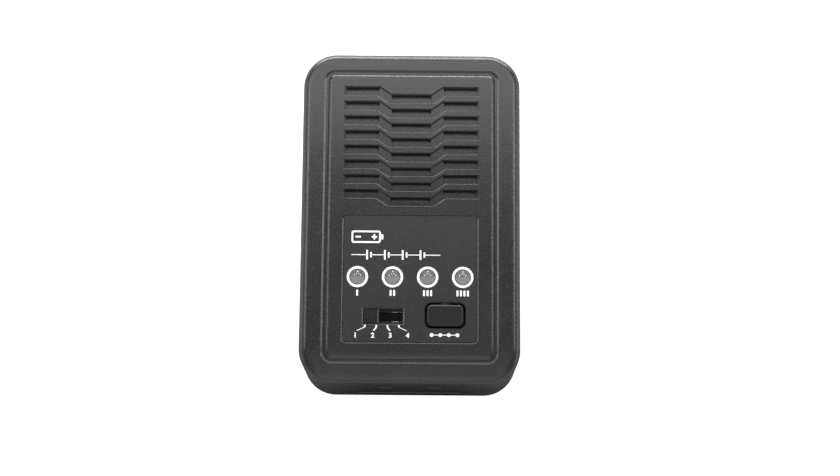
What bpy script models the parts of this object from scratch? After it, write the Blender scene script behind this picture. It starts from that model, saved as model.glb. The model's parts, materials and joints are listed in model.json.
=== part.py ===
"""Balance battery charger, modelled as the separate pieces it comes apart into.

Metres, +Z up. The origin is on the table under the middle of the case. +Y points to the
mains inlet end and -Y to the battery sockets.
"""

import math

import bmesh
import bpy

# Case, a deep top cover on a shallow base
CASE_WIDTH = 0.070
CASE_LENGTH = 0.107
CASE_HEIGHT = 0.037
CORNER_RADIUS = 0.0108
TOP_FILLET = 0.0032
WALL = 0.0022
FACE_THICKNESS = 0.0022
INNER_CHAMFER = 0.0010
BASE_HEIGHT = 0.0070
BASE_FLOOR = 0.0020
BASE_EDGE_CHAMFER = 0.0008
PARTING_GAP = 0.0003
LIP_THICKNESS = 0.0010
LIP_HEIGHT = 0.0012
LIP_CLEARANCE = 0.0002

# Clearance left between a piece and its seat, and how far a joined shape sinks into its piece
SEAT_GAP = 0.0002
JOIN_DEPTH = 0.0005

# Frame groove round the raised panel of the face
GROOVE_SIDE_INSET = 0.0067
GROOVE_END_INSET = 0.0057
GROOVE_CORNER_RADIUS = 0.0038
GROOVE_DEPTH = 0.0010
GROOVE_WALL_RUN = 0.0006
GROOVE_FLOOR = 0.0009
PANEL_EDGE_RUN = 0.0014

# Louvre grille, rows of cranked recesses with through slots in their straight runs
GRILLE_PITCH = 0.00483
GRILLE_REAR_MARGIN = 0.0115
GRILLE_LABEL_GAP = 0.0020
GRILLE_HALF_WIDTH = 0.0214
GRILLE_CRANK_OUTER = 0.0102
GRILLE_CRANK_INNER = 0.0065
GRILLE_CRANK_DROP = 0.0025
GRILLE_RECESS = 0.0027
GRILLE_RECESS_DEPTH = 0.0008
GRILLE_LIP = 0.00015
GRILLE_SLOT = 0.00125
GRILLE_LEDGE_DEPTH = 0.0015
GRILLE_END_WALL = 0.0003

# Label sheet let into the face
LABEL_WIDTH = 0.0420
LABEL_LENGTH = 0.0403
LABEL_FRONT_MARGIN = 0.0128
LABEL_CORNER_RADIUS = 0.0010
LABEL_THICKNESS = 0.0004
LABEL_SEAT_GAP = 0.0001
LABEL_SINK = 0.0001
LABEL_EDGE_GAP = 0.0003

# Status lamps
LED_COUNT = 4
LED_PITCH = 0.0111
LED_FROM_FRONT = 0.02064
LED_DIAMETER = 0.0050
LED_FLANGE_DIAMETER = 0.0058
LED_FLANGE_HEIGHT = 0.0010
LED_BODY_HEIGHT = 0.0062
LED_EDGE = 0.00025
LED_LEAD = 0.0005
LED_LEAD_PITCH = 0.00254
LED_HOLE_CLEARANCE = 0.0002
LED_SINK = 0.0001

# Current switch, four positions along X
SWITCH_X = -0.0084
SWITCH_FROM_FRONT = 0.00816
SWITCH_STEP = 0.0025
SWITCH_STEPS = 3
SWITCH_CHAMFER = 0.0004
SWITCH_END_CLEARANCE = 0.00015
SWITCH_BODY_WIDTH = 0.0066
SWITCH_BODY_END = 0.0020
SWITCH_SHELL_THICKNESS = 0.0004
SWITCH_SHELL_SKIRT = 0.0030
SWITCH_BASE_FLOOR = 0.0012
SLIDER_LENGTH = 0.0048
SLIDER_WIDTH = 0.0045
SLIDER_SINK = 0.0005
SLIDER_RIBS = 4
SLIDER_RIB_HEIGHT = 0.0005
SLIDER_RIB_DRAFT = 0.00014
SLIDER_SIDE_CLEARANCE = 0.0002
SLIDER_STEM_WIDTH = 0.0023
SLIDER_STEM_LENGTH = 0.0036
SLIDER_STEM_CLEARANCE = 0.0003
SLIDER_HEAD_GAP = 0.0003

# Battery type button, a flap on a short neck, and the switch under it
BUTTON_X = 0.01115
BUTTON_FROM_FRONT = 0.0084
BUTTON_WIDTH = 0.0115
BUTTON_LENGTH = 0.0068
BUTTON_CORNER_RADIUS = 0.0015
BUTTON_EDGE_ROUND = 0.0006
BUTTON_GAP = 0.00062
BUTTON_PROUD = 0.0003
BUTTON_THICKNESS = 0.0022
BUTTON_POST_DIAMETER = 0.0022
BUTTON_POST_LENGTH = 0.0012
NECK_WIDTH = 0.0029
NECK_THICKNESS = 0.0009
NECK_SINK = 0.0008
NECK_REACH = 0.0006
NECK_POCKET_GAP = 0.0003
TACT_SIZE = 0.0060
TACT_HEIGHT = 0.0035
PLUNGER_DIAMETER = 0.0034
PLUNGER_SEAT = 0.0014
PLUNGER_CLEARANCE = 0.0002
PLUNGER_EDGE = 0.0002
PLUNGER_TRAVEL = 0.0005
PRESS_GAP = 0.0001

# Control board hung under the face
CONTROL_DEPTH = 0.0100
CONTROL_WIDTH = 0.0400
CONTROL_END_GAP = 0.0043
CONTROL_REAR_REACH = 0.0014
CONTROL_POST_INSET = 0.0032
CONTROL_POST_REAR_INSET = 0.0070
CONTROL_POST_FRONT_INSET = 0.0045
CONTROL_POST_DIAMETER = 0.0044
CHIP_SIZE = 0.0100
CHIP_HEIGHT = 0.0016
CHIP_CORNER = 0.0005
CHIP_REAR_INSET = 0.0110

# Main board
BOARD_THICKNESS = 0.0016
BOARD_EDGE_GAP = 0.0022
BOARD_END_GAP = 0.0012
BOARD_BOSS_GAP = 0.0011
STANDOFF_EDGE_INSET = 0.0046
STANDOFF_NOTCH_INSET = 0.0045
STANDOFF_DIAMETER = 0.0052

# Screws and feet
CASE_SCREW_X_INSET = 0.0077
CASE_SCREW_Y_INSET = 0.0082
BOSS_DIAMETER = 0.0060
PILLAR_DIAMETER = 0.0074
PILLAR_HEIGHT = 0.0022
SCREW_DIAMETER = 0.0026
SCREW_LENGTH = 0.0100
SCREW_HEAD_DIAMETER = 0.0050
SCREW_HEAD_HEIGHT = 0.0016
SCREW_CLEARANCE = 0.0003
SCREW_SEAT_WEB = 0.0016
SCREW_TIP_DIAMETER = 0.0008
SMALL_SCREW_DIAMETER = 0.0020
SMALL_SCREW_LENGTH = 0.0040
SMALL_SCREW_HEAD_DIAMETER = 0.0040
SMALL_SCREW_HEAD_HEIGHT = 0.0013
FOOT_DIAMETER = 0.0080
FOOT_PROUD = 0.0010
FOOT_RECESS = 0.0008
FOOT_SIDE_INSET = 0.0100
FOOT_END_INSET = 0.0185
FOOT_EDGE = 0.0004

# Base vents
BASE_VENTS = 5
BASE_VENT_LENGTH = 0.0220
BASE_VENT_WIDTH = 0.0016
BASE_VENT_PITCH = 0.0044

# Battery socket end
FRONT_RECESS_WIDTH = 0.0330
FRONT_RECESS_TOP = 0.0160
FRONT_RECESS_RADIUS = 0.0050
FRONT_RECESS_DEPTH = 0.0009
SOCKET_CLEARANCE = 0.0002
FRONT_VENT_X = 0.0080
FRONT_VENT_WIDTH = 0.0050
FRONT_VENT_HEIGHT = 0.0030
FRONT_VENT_CORNER = 0.00075
FRONT_VENT_RISE = 0.0230
OUTPUT_X = -0.0080
OUTPUT_WIDTH = 0.0136
OUTPUT_HEIGHT = 0.0076
OUTPUT_LENGTH = 0.0130
OUTPUT_SLOT_LENGTH = 0.0062
OUTPUT_SLOT_WIDTH = 0.0016
OUTPUT_SLOT_DEPTH = 0.0095
OUTPUT_BLADE_THICKNESS = 0.0006
OUTPUT_BLADE_SETBACK = 0.0012
OUTPUT_SLOT_SPREAD = 0.0058
OUTPUT_CORNER = 0.0012
BALANCE_X = 0.0080
BALANCE_PINS = 5
BALANCE_PITCH = 0.0025
BALANCE_END = 0.00245
BALANCE_HEIGHT = 0.0065
BALANCE_LENGTH = 0.0110
BALANCE_WALL = 0.0009
BALANCE_CAVITY_DEPTH = 0.0078
BALANCE_KEY_WIDTH = 0.0016
BALANCE_KEY_SPREAD = 0.0050
BALANCE_KEY_DEPTH = 0.0039
PIN_SIZE = 0.00064
PIN_HOLE_CLEARANCE = 0.00013
PIN_SETBACK = 0.0018
PIN_TAIL = 0.0014

# Mains inlet end
INLET_WIDTH = 0.0204
INLET_HEIGHT = 0.0112
INLET_CORNER = 0.0030
INLET_LENGTH = 0.0160
INLET_PIN_PITCH = 0.0086
INLET_BARREL_RADIUS = 0.0039
INLET_WAIST = 0.0030
INLET_CAVITY_DEPTH = 0.0120
INLET_PIN_DIAMETER = 0.0024
INLET_PIN_EDGE = 0.0006
INLET_PIN_SETBACK = 0.0030
INLET_PIN_TAIL = 0.0030
INLET_TAB_THICKNESS = 0.0010
INLET_TAB_WIDTH = 0.0012

# Mains side of the main board, set out from the inlet
FUSE_DIAMETER = 0.0052
FUSE_CAP_DIAMETER = 0.0058
FUSE_LENGTH = 0.0200
FUSE_CAP_LENGTH = 0.0048
FUSE_INLET_GAP = 0.0015
FUSE_END_INSET = 0.0115
XCAP_WIDTH = 0.0090
XCAP_LENGTH = 0.0180
XCAP_HEIGHT = 0.0150
XCAP_CORNER = 0.0005
XCAP_INLET_GAP = 0.0011
XCAP_END_INSET = 0.0080
CHOKE_OUTER = 0.0080
CHOKE_INNER = 0.0032
CHOKE_HEIGHT = 0.0090
CHOKE_PIN_GAP = 0.0006
RING_EDGE = 0.0011
BRIDGE_WIDTH = 0.0036
BRIDGE_LENGTH = 0.0150
BRIDGE_HEIGHT = 0.0110
BRIDGE_CORNER = 0.0005
BRIDGE_WALL_GAP = 0.0024
BRIDGE_END_INSET = 0.0225
BULK_DIAMETER = 0.0130
BULK_LENGTH = 0.0250
BULK_OFFSET = 0.0145
BULK_FUSE_GAP = 0.0020
CAP_EDGE = 0.0005
CAP_GROOVE_RISE = 0.0020

# Transformer, behind which the choke stands
CORE_WIDTH = 0.0250
CORE_HEIGHT = 0.0172
CORE_THICKNESS = 0.0070
CORE_YOKE = 0.0034
CORE_SIDE_LEG = 0.0036
CORE_MIDDLE_LEG = 0.0075
COIL_GAP = 0.0003
COIL_LENGTH = 0.0180
COIL_FLANGE = 0.0010
COIL_FLANGE_STEP = 0.0006
TRANSFORMER_X = 0.0090
TRANSFORMER_CHOKE_GAP = 0.0006

# Heatsinks along both side walls, and the power devices bolted to them
HEATSINK_WALL_GAP = 0.0025
HEATSINK_PLATE = 0.0016
HEATSINK_FIN = 0.0032
HEATSINK_FIN_THICKNESS = 0.0012
PRIMARY_SINK_LENGTH = 0.0340
PRIMARY_SINK_HEIGHT = 0.0220
PRIMARY_SINK_FINS = 6
OUTPUT_SINK_LENGTH = 0.0200
OUTPUT_SINK_HEIGHT = 0.0160
OUTPUT_SINK_FINS = 4
TRANSISTOR_WIDTH = 0.0100
TRANSISTOR_TAB = 0.0013
TRANSISTOR_DEPTH = 0.0044
TRANSISTOR_BODY = 0.0092
TRANSISTOR_HEIGHT = 0.0152
TRANSISTOR_LEG = 0.0008
TRANSISTOR_LEG_PITCH = 0.00254
TRANSISTOR_LIFT = 0.0028
TRANSISTOR_CORE_GAP = 0.0010

# Battery side of the main board, set out from the sockets
OUTPUT_GAP = 0.0026
OUTPUT_CAPS = 2
OUTPUT_CAP_DIAMETER = 0.0080
OUTPUT_CAP_HEIGHT = 0.0140
OUTPUT_CAP_X = -0.0115
OUTPUT_CAP_GAP = 0.0015
INDUCTOR_OUTER = 0.0070
INDUCTOR_INNER = 0.0028
INDUCTOR_HEIGHT = 0.0070
DISC_DIAMETER = 0.0080
DISC_THICKNESS = 0.0035
DISC_EDGE = 0.0009
DISC_X = 0.0010
OPTO_WIDTH = 0.0065
OPTO_LENGTH = 0.0046
OPTO_HEIGHT = 0.0035
OPTO_X = 0.0120
COIL_FRONT_GAP = 0.0025
LINK_EDGE_INSET = 0.0020
LINK_LENGTH = 0.0120
LINK_WIDTH = 0.0040
LINK_HEIGHT = 0.0060
LINK_COIL_GAP = 0.0040
RIBBON_WIDTH = 0.0100
RIBBON_THICKNESS = 0.0006

# Facets
CORNER_STEPS = 6
SMALL_CORNER_STEPS = 2
FILLET_STEPS = 5
ROUND_STEPS = 20
SMALL_ROUND_STEPS = 14
SMOOTH_ANGLE = math.radians(32.0)

# How far a cutting shape reaches past the face that it opens
CUT_REACH = 0.0010

# Heights worked out from the sizes above
UNDERSIDE_Z = FOOT_PROUD
FACE_Z = UNDERSIDE_Z + CASE_HEIGHT
CEILING_Z = FACE_Z - FACE_THICKNESS
FLOOR_Z = UNDERSIDE_Z + BASE_FLOOR
PARTING_Z = UNDERSIDE_Z + BASE_HEIGHT
COVER_EDGE_Z = PARTING_Z + PARTING_GAP
BOARD_TOP_Z = COVER_EDGE_Z - SEAT_GAP
BOARD_Z = BOARD_TOP_Z - BOARD_THICKNESS
ON_BOARD_Z = BOARD_TOP_Z + SEAT_GAP
PILLAR_TOP_Z = FLOOR_Z + PILLAR_HEIGHT
CONTROL_TOP_Z = FACE_Z - CONTROL_DEPTH
CONTROL_Z = CONTROL_TOP_Z - BOARD_THICKNESS
ON_CONTROL_Z = CONTROL_TOP_Z + SEAT_GAP
SWITCH_TOP_Z = CEILING_Z - SEAT_GAP
LABEL_TOP_Z = FACE_Z - LABEL_SINK
LABEL_FLOOR_Z = LABEL_TOP_Z - LABEL_THICKNESS - LABEL_SEAT_GAP
BUTTON_TOP_Z = FACE_Z + BUTTON_PROUD
BUTTON_UNDER_Z = BUTTON_TOP_Z - BUTTON_THICKNESS
PLUNGER_TOP_Z = BUTTON_UNDER_Z - BUTTON_POST_LENGTH - PRESS_GAP
TACT_TOP_Z = ON_CONTROL_Z + TACT_HEIGHT
NECK_TOP_Z = FACE_Z - NECK_SINK

# Places worked out from the sizes above
HALF_WIDTH = CASE_WIDTH / 2
HALF_LENGTH = CASE_LENGTH / 2
CASE_SCREW_X = HALF_WIDTH - CASE_SCREW_X_INSET
CASE_SCREW_Y = HALF_LENGTH - CASE_SCREW_Y_INSET
FRONT_FACE_Y = -HALF_LENGTH + FRONT_RECESS_DEPTH
BALANCE_WIDTH = (BALANCE_PINS - 1) * BALANCE_PITCH + 2 * BALANCE_END
LABEL_FRONT_Y = -HALF_LENGTH + LABEL_FRONT_MARGIN
LABEL_REAR_Y = LABEL_FRONT_Y + LABEL_LENGTH
LABEL_CENTRE_Y = (LABEL_FRONT_Y + LABEL_REAR_Y) / 2
LED_Y = LABEL_FRONT_Y + LED_FROM_FRONT
SWITCH_Y = LABEL_FRONT_Y + SWITCH_FROM_FRONT
BUTTON_Y = LABEL_FRONT_Y + BUTTON_FROM_FRONT
GRILLE_FIRST_Y = HALF_LENGTH - GRILLE_REAR_MARGIN
GRILLE_ROW_DEPTH = GRILLE_CRANK_DROP + GRILLE_RECESS
GRILLE_ROOM = GRILLE_FIRST_Y - LABEL_REAR_Y - GRILLE_LABEL_GAP - GRILLE_ROW_DEPTH
GRILLE_ROWS = 1 + int(GRILLE_ROOM / GRILLE_PITCH)
SWITCH_TRAVEL = SWITCH_STEP * SWITCH_STEPS
SWITCH_OPENING_DEPTH = SLIDER_WIDTH + 2 * SLIDER_SIDE_CLEARANCE
SWITCH_OPENING_LENGTH = SLIDER_LENGTH + SWITCH_TRAVEL + 2 * SWITCH_END_CLEARANCE
SWITCH_BODY_LENGTH = SWITCH_OPENING_LENGTH + 2 * SWITCH_BODY_END
SLIDER_X = SWITCH_X - SWITCH_TRAVEL / 2
BUTTON_OPENING_WIDTH = BUTTON_WIDTH + 2 * BUTTON_GAP
BUTTON_OPENING_LENGTH = BUTTON_LENGTH + 2 * BUTTON_GAP
NECK_ROOT_Y = BUTTON_Y + BUTTON_OPENING_LENGTH / 2 + NECK_REACH
HINGE_Z = NECK_TOP_Z - NECK_THICKNESS / 2
INLET_CENTRE_Z = COVER_EDGE_Z + INLET_HEIGHT / 2
FOOT_X = HALF_WIDTH - FOOT_SIDE_INSET
FOOT_Y = HALF_LENGTH - FOOT_END_INSET
CONTROL_FRONT_Y = -HALF_LENGTH + WALL + CONTROL_END_GAP
CONTROL_REAR_Y = LABEL_REAR_Y + CONTROL_REAR_REACH
CONTROL_POST_X = CONTROL_WIDTH / 2 - CONTROL_POST_INSET
BOARD_HALF_WIDTH = HALF_WIDTH - WALL - BOARD_EDGE_GAP
BOARD_HALF_LENGTH = HALF_LENGTH - WALL - BOARD_END_GAP
BOARD_NOTCH_X = CASE_SCREW_X - PILLAR_DIAMETER / 2 - BOARD_BOSS_GAP
BOARD_NOTCH_Y = CASE_SCREW_Y - PILLAR_DIAMETER / 2 - BOARD_BOSS_GAP
STANDOFF_X = BOARD_HALF_WIDTH - STANDOFF_EDGE_INSET
STANDOFF_Y = BOARD_NOTCH_Y - STANDOFF_NOTCH_INSET
FUSE_X = -(INLET_WIDTH / 2 + FUSE_INLET_GAP + FUSE_CAP_DIAMETER / 2)
FUSE_Y = HALF_LENGTH - FUSE_END_INSET - FUSE_LENGTH / 2
XCAP_X = INLET_WIDTH / 2 + XCAP_INLET_GAP + XCAP_WIDTH / 2
XCAP_Y = HALF_LENGTH - XCAP_END_INSET - XCAP_LENGTH / 2
CHOKE_Y = HALF_LENGTH - INLET_LENGTH - INLET_PIN_TAIL - CHOKE_PIN_GAP - CHOKE_OUTER
BRIDGE_X = -(HALF_WIDTH - WALL - BRIDGE_WALL_GAP - BRIDGE_WIDTH / 2)
BRIDGE_Y = HALF_LENGTH - BRIDGE_END_INSET - BRIDGE_LENGTH / 2
BULK_FRONT_Y = FUSE_Y - FUSE_LENGTH / 2 - BULK_FUSE_GAP - BULK_LENGTH
TRANSFORMER_Y = CHOKE_Y - CHOKE_OUTER - TRANSFORMER_CHOKE_GAP - COIL_LENGTH / 2
COIL_FRONT_Y = TRANSFORMER_Y - COIL_LENGTH / 2
HEATSINK_X = HALF_WIDTH - WALL - HEATSINK_WALL_GAP - HEATSINK_FIN - HEATSINK_PLATE
PRIMARY_TRANSISTOR_Y = TRANSFORMER_Y + CORE_THICKNESS / 2 + TRANSISTOR_CORE_GAP + TRANSISTOR_WIDTH / 2
OUTPUT_FRONT_Y = FRONT_FACE_Y + OUTPUT_LENGTH + OUTPUT_GAP
OUTPUT_SINK_Y = OUTPUT_FRONT_Y + OUTPUT_SINK_LENGTH / 2
OUTPUT_CAP_PITCH = OUTPUT_CAP_DIAMETER + OUTPUT_CAP_GAP
INDUCTOR_X = OUTPUT_CAP_X + OUTPUT_CAPS * OUTPUT_CAP_PITCH - OUTPUT_CAP_DIAMETER / 2 + INDUCTOR_OUTER
LINK_X = CONTROL_WIDTH / 2 - LINK_EDGE_INSET
LINK_Y = COIL_FRONT_Y - LINK_COIL_GAP - LINK_LENGTH / 2
FOUR_CORNERS = ((-1, -1), (1, -1), (1, 1), (-1, 1))


def material(name, colour, roughness, metallic=0.0):
    """Return a Principled material of one colour."""
    made = bpy.data.materials.new(name)
    made.use_nodes = True
    shader = made.node_tree.nodes["Principled BSDF"]
    shader.inputs["Base Color"].default_value = (*colour, 1.0)
    shader.inputs["Roughness"].default_value = roughness
    shader.inputs["Metallic"].default_value = metallic
    return made


def arc(centre, radius, start, end, steps):
    """Return points on an arc, both ends included, with angles in degrees."""
    points = []
    for step in range(steps + 1):
        angle = math.radians(start + (end - start) * step / steps)
        points.append((centre[0] + radius * math.cos(angle), centre[1] + radius * math.sin(angle)))
    return points


def circle(radius, centre=(0.0, 0.0), steps=ROUND_STEPS):
    """Return a closed circle, with its first point once."""
    return arc(centre, radius, 0.0, 360.0, steps)[:-1]


def rectangle(width, length, centre=(0.0, 0.0)):
    """Return the corners of a rectangle about a centre."""
    return [(centre[0] + sx * width / 2, centre[1] + sy * length / 2) for sx, sy in FOUR_CORNERS]


def rounded_rectangle(width, length, radius, centre=(0.0, 0.0), steps=CORNER_STEPS):
    """Return a rectangle with round corners about a centre."""
    points = []
    starts = (180.0, 270.0, 0.0, 90.0)
    for (side_x, side_y), start in zip(FOUR_CORNERS, starts):
        corner = (centre[0] + side_x * (width / 2 - radius), centre[1] + side_y * (length / 2 - radius))
        points += arc(corner, radius, start, start + 90.0, steps)
    return points


def at_height(outline, z):
    """Lift a flat outline to a height."""
    return [(x, y, z) for x, y in outline]


def loft(mesh, loops, closed=False):
    """Skin loops of equally many points in order, capped at both ends or closed into a ring."""
    rings = [[mesh.verts.new(point) for point in loop] for loop in loops]
    pairs = list(zip(rings, rings[1:]))
    if closed:
        pairs.append((rings[-1], rings[0]))
    else:
        mesh.faces.new(rings[0])
        mesh.faces.new(rings[-1])
    for lower, upper in pairs:
        for index in range(len(lower)):
            after = (index + 1) % len(lower)
            mesh.faces.new((lower[index], lower[after], upper[after], upper[index]))


def prism(mesh, outline, low, high, axis="Z"):
    """Extrude an outline along an axis. Its two numbers are XY, or XZ along Y, or YZ along X."""
    places = {
        "Z": lambda u, v, w: (u, v, w),
        "Y": lambda u, v, w: (u, w, v),
        "X": lambda u, v, w: (w, u, v),
    }
    loft(mesh, [[places[axis](u, v, level) for u, v in outline] for level in (low, high)])


def box(mesh, x, y, z):
    """Add a box from its three ranges."""
    outline = [(x[0], y[0]), (x[1], y[0]), (x[1], y[1]), (x[0], y[1])]
    prism(mesh, outline, z[0], z[1])


def turned(mesh, profile, centre=(0.0, 0.0), steps=ROUND_STEPS, axis="Z"):
    """Turn a profile of radius and height pairs, whose ends are flat discs, about an axis."""
    loops = []
    for radius, height in profile:
        ring = circle(radius, centre, steps)
        if axis == "Z":
            loops.append([(u, v, height) for u, v in ring])
        else:
            loops.append([(u, height, v) for u, v in ring])
    loft(mesh, loops)


def rod(mesh, radius, low, high, centre=(0.0, 0.0), steps=SMALL_ROUND_STEPS):
    """Add a plain round rod that stands between two heights."""
    turned(mesh, [(radius, low), (radius, high)], centre, steps)


def shaped(build, *arguments, **options):
    """Return a new mesh filled by one building function."""
    mesh = bmesh.new()
    build(mesh, *arguments, **options)
    return mesh


class Assembly:
    """The pieces of the charger under one empty, and the tools that cut them."""

    def __init__(self, name):
        self.root = bpy.data.objects.new(name, None)
        bpy.context.scene.collection.objects.link(self.root)

    def _add(self, name, shape, location):
        bmesh.ops.recalc_face_normals(shape, faces=shape.faces)
        mesh = bpy.data.meshes.new(name)
        shape.to_mesh(mesh)
        shape.free()
        made = bpy.data.objects.new(name, mesh)
        made.location = location
        made.parent = self.root
        bpy.context.scene.collection.objects.link(made)
        return made

    def piece(self, name, shape, finish, location=(0.0, 0.0, 0.0)):
        """Add a piece of the charger from a mesh about its own origin."""
        made = self._add(name, shape, location)
        made.data.materials.append(finish)
        made.data.shade_smooth()
        made.data.set_sharp_from_angle(angle=SMOOTH_ANGLE)
        return made

    def boolean(self, target, name, shape, operation, location=(0.0, 0.0, 0.0)):
        """Cut a shape out of a piece, or join it on."""
        tool = self._add(name, shape, location)
        tool.hide_render = True
        tool.display_type = "WIRE"
        change = target.modifiers.new(name, "BOOLEAN")
        change.operation = operation
        change.solver = "EXACT"
        change.object = tool

    def cut(self, target, name, shape, location=(0.0, 0.0, 0.0)):
        """Cut a shape out of a piece."""
        self.boolean(target, name, shape, "DIFFERENCE", location)

    def join(self, target, name, shape, location=(0.0, 0.0, 0.0)):
        """Join a shape on to a piece."""
        self.boolean(target, name, shape, "UNION", location)


def case_loop(inset, z):
    """Return the case outline drawn in by an inset, at a height."""
    radius = max(CORNER_RADIUS - inset, INNER_CHAMFER)
    return at_height(rounded_rectangle(CASE_WIDTH - 2 * inset, CASE_LENGTH - 2 * inset, radius), z)


def groove_loop(inset, z):
    """Return the outline of the frame groove drawn in by an inset, at a height."""
    width = CASE_WIDTH - 2 * (GROOVE_SIDE_INSET + inset)
    length = CASE_LENGTH - 2 * (GROOVE_END_INSET + inset)
    radius = max(GROOVE_CORNER_RADIUS - inset, GROOVE_WALL_RUN)
    return at_height(rounded_rectangle(width, length, radius), z)


def cover_shell(mesh):
    """Loft the top cover: its hollow, its walls, the round top edge and the frame groove."""
    rebate_z = PARTING_Z + LIP_HEIGHT + LIP_CLEARANCE
    rebate = WALL - LIP_THICKNESS
    loops = [
        case_loop(WALL + INNER_CHAMFER, CEILING_Z),
        case_loop(WALL, CEILING_Z - INNER_CHAMFER),
        case_loop(WALL, rebate_z),
        case_loop(rebate, rebate_z),
        case_loop(rebate, COVER_EDGE_Z),
        case_loop(0.0, COVER_EDGE_Z),
    ]
    for inset, height in arc((TOP_FILLET, -TOP_FILLET), TOP_FILLET, 180.0, 90.0, FILLET_STEPS):
        loops.append(case_loop(inset, FACE_Z + height))
    groove_floor = GROOVE_WALL_RUN + GROOVE_FLOOR
    loops.append(groove_loop(0.0, FACE_Z))
    loops.append(groove_loop(GROOVE_WALL_RUN, FACE_Z - GROOVE_DEPTH))
    for step in range(FILLET_STEPS + 1):
        angle = math.radians(90.0 * step / FILLET_STEPS)
        inset = groove_floor + PANEL_EDGE_RUN * (1.0 - math.cos(angle))
        loops.append(groove_loop(inset, FACE_Z - GROOVE_DEPTH * (1.0 - math.sin(angle))))
    loft(mesh, loops)


def grille_recesses(mesh):
    """Cut the shallow cranked recess of each grille row."""
    slope = math.atan2(GRILLE_CRANK_DROP, GRILLE_CRANK_OUTER - GRILLE_CRANK_INNER)
    shift = GRILLE_RECESS * math.tan(slope / 2)
    for row in range(GRILLE_ROWS):
        north = GRILLE_FIRST_Y - row * GRILLE_PITCH
        upper = [
            (GRILLE_HALF_WIDTH, north),
            (GRILLE_CRANK_OUTER, north),
            (GRILLE_CRANK_INNER, north - GRILLE_CRANK_DROP),
        ]
        lower = [
            (GRILLE_CRANK_INNER + shift, north - GRILLE_CRANK_DROP - GRILLE_RECESS),
            (GRILLE_CRANK_OUTER + shift, north - GRILLE_RECESS),
            (GRILLE_HALF_WIDTH, north - GRILLE_RECESS),
        ]
        half = upper + [(-x, y) for x, y in reversed(upper)]
        outline = half + [(-x, y) for x, y in reversed(lower)] + lower
        prism(mesh, outline, FACE_Z - GRILLE_RECESS_DEPTH, FACE_Z + CUT_REACH)


def grille_slots(mesh):
    """Cut the sloped ledge and the through slot in each straight run of the grille."""
    outer = (GRILLE_CRANK_OUTER + GRILLE_END_WALL, GRILLE_HALF_WIDTH - GRILLE_END_WALL)
    middle = GRILLE_CRANK_INNER - GRILLE_END_WALL
    runs = ((-outer[1], -outer[0], 0.0), (-middle, middle, GRILLE_CRANK_DROP), (outer[0], outer[1], 0.0))
    for row in range(GRILLE_ROWS):
        for west, east, drop in runs:
            north = GRILLE_FIRST_Y - row * GRILLE_PITCH - drop - GRILLE_LIP
            slot_south = north - GRILLE_SLOT
            south = north - GRILLE_RECESS + 2 * GRILLE_LIP
            ledge_top = FACE_Z - GRILLE_RECESS_DEPTH + GRILLE_LIP
            profile = [
                (north, FACE_Z + CUT_REACH),
                (north, CEILING_Z - CUT_REACH),
                (slot_south, CEILING_Z - CUT_REACH),
                (slot_south, FACE_Z - GRILLE_LEDGE_DEPTH),
                (south, ledge_top),
                (south, FACE_Z + CUT_REACH),
            ]
            prism(mesh, profile, west, east, axis="X")


def led_places():
    """Return the X of each status lamp."""
    first = -LED_PITCH * (LED_COUNT - 1) / 2
    return [first + LED_PITCH * index for index in range(LED_COUNT)]


def led_holes(mesh):
    """Cut the round hole of each status lamp."""
    for x in led_places():
        hole = circle(LED_DIAMETER / 2 + LED_HOLE_CLEARANCE, (x, LED_Y))
        prism(mesh, hole, CEILING_Z - CUT_REACH, FACE_Z + CUT_REACH)


def switch_opening(mesh):
    """Cut the switch opening, with a chamfer of equal legs at its top."""
    length, depth = SWITCH_OPENING_LENGTH, SWITCH_OPENING_DEPTH
    flare = FACE_Z + CUT_REACH - LABEL_FLOOR_Z + SWITCH_CHAMFER
    centre = (SWITCH_X, SWITCH_Y)
    loops = [
        at_height(rectangle(length, depth, centre), CEILING_Z - CUT_REACH),
        at_height(rectangle(length, depth, centre), LABEL_FLOOR_Z - SWITCH_CHAMFER),
        at_height(rectangle(length + 2 * flare, depth + 2 * flare, centre), FACE_Z + CUT_REACH),
    ]
    loft(mesh, loops)


def button_opening(mesh, margin=0.0, neck_reach=NECK_REACH + NECK_POCKET_GAP):
    """Cut the button opening and the pocket for its neck as one outline."""
    half_neck = NECK_WIDTH / 2 + NECK_POCKET_GAP
    rear = BUTTON_Y + BUTTON_OPENING_LENGTH / 2 + margin
    outline = rounded_rectangle(BUTTON_OPENING_WIDTH + 2 * margin, BUTTON_OPENING_LENGTH + 2 * margin,
                                BUTTON_CORNER_RADIUS + BUTTON_GAP, (BUTTON_X, BUTTON_Y))
    notch = [
        (BUTTON_X + half_neck, rear),
        (BUTTON_X + half_neck, rear - margin + neck_reach),
        (BUTTON_X - half_neck, rear - margin + neck_reach),
        (BUTTON_X - half_neck, rear),
    ]
    rear_right = 3 * (CORNER_STEPS + 1)
    outline[rear_right:rear_right] = notch
    prism(mesh, outline, CEILING_Z - CUT_REACH, FACE_Z + CUT_REACH)


def front_recess(mesh):
    """Cut the shallow recess, round at its top corners, that frames both battery sockets."""
    half = FRONT_RECESS_WIDTH / 2
    top = UNDERSIDE_Z + FRONT_RECESS_TOP
    corner = (half - FRONT_RECESS_RADIUS, top - FRONT_RECESS_RADIUS)
    right = [(half, PARTING_Z)] + arc(corner, FRONT_RECESS_RADIUS, 0.0, 90.0, CORNER_STEPS)
    outline = right + [(-x, z) for x, z in reversed(right)]
    prism(mesh, outline, -HALF_LENGTH - CUT_REACH, FRONT_FACE_Y, axis="Y")


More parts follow.
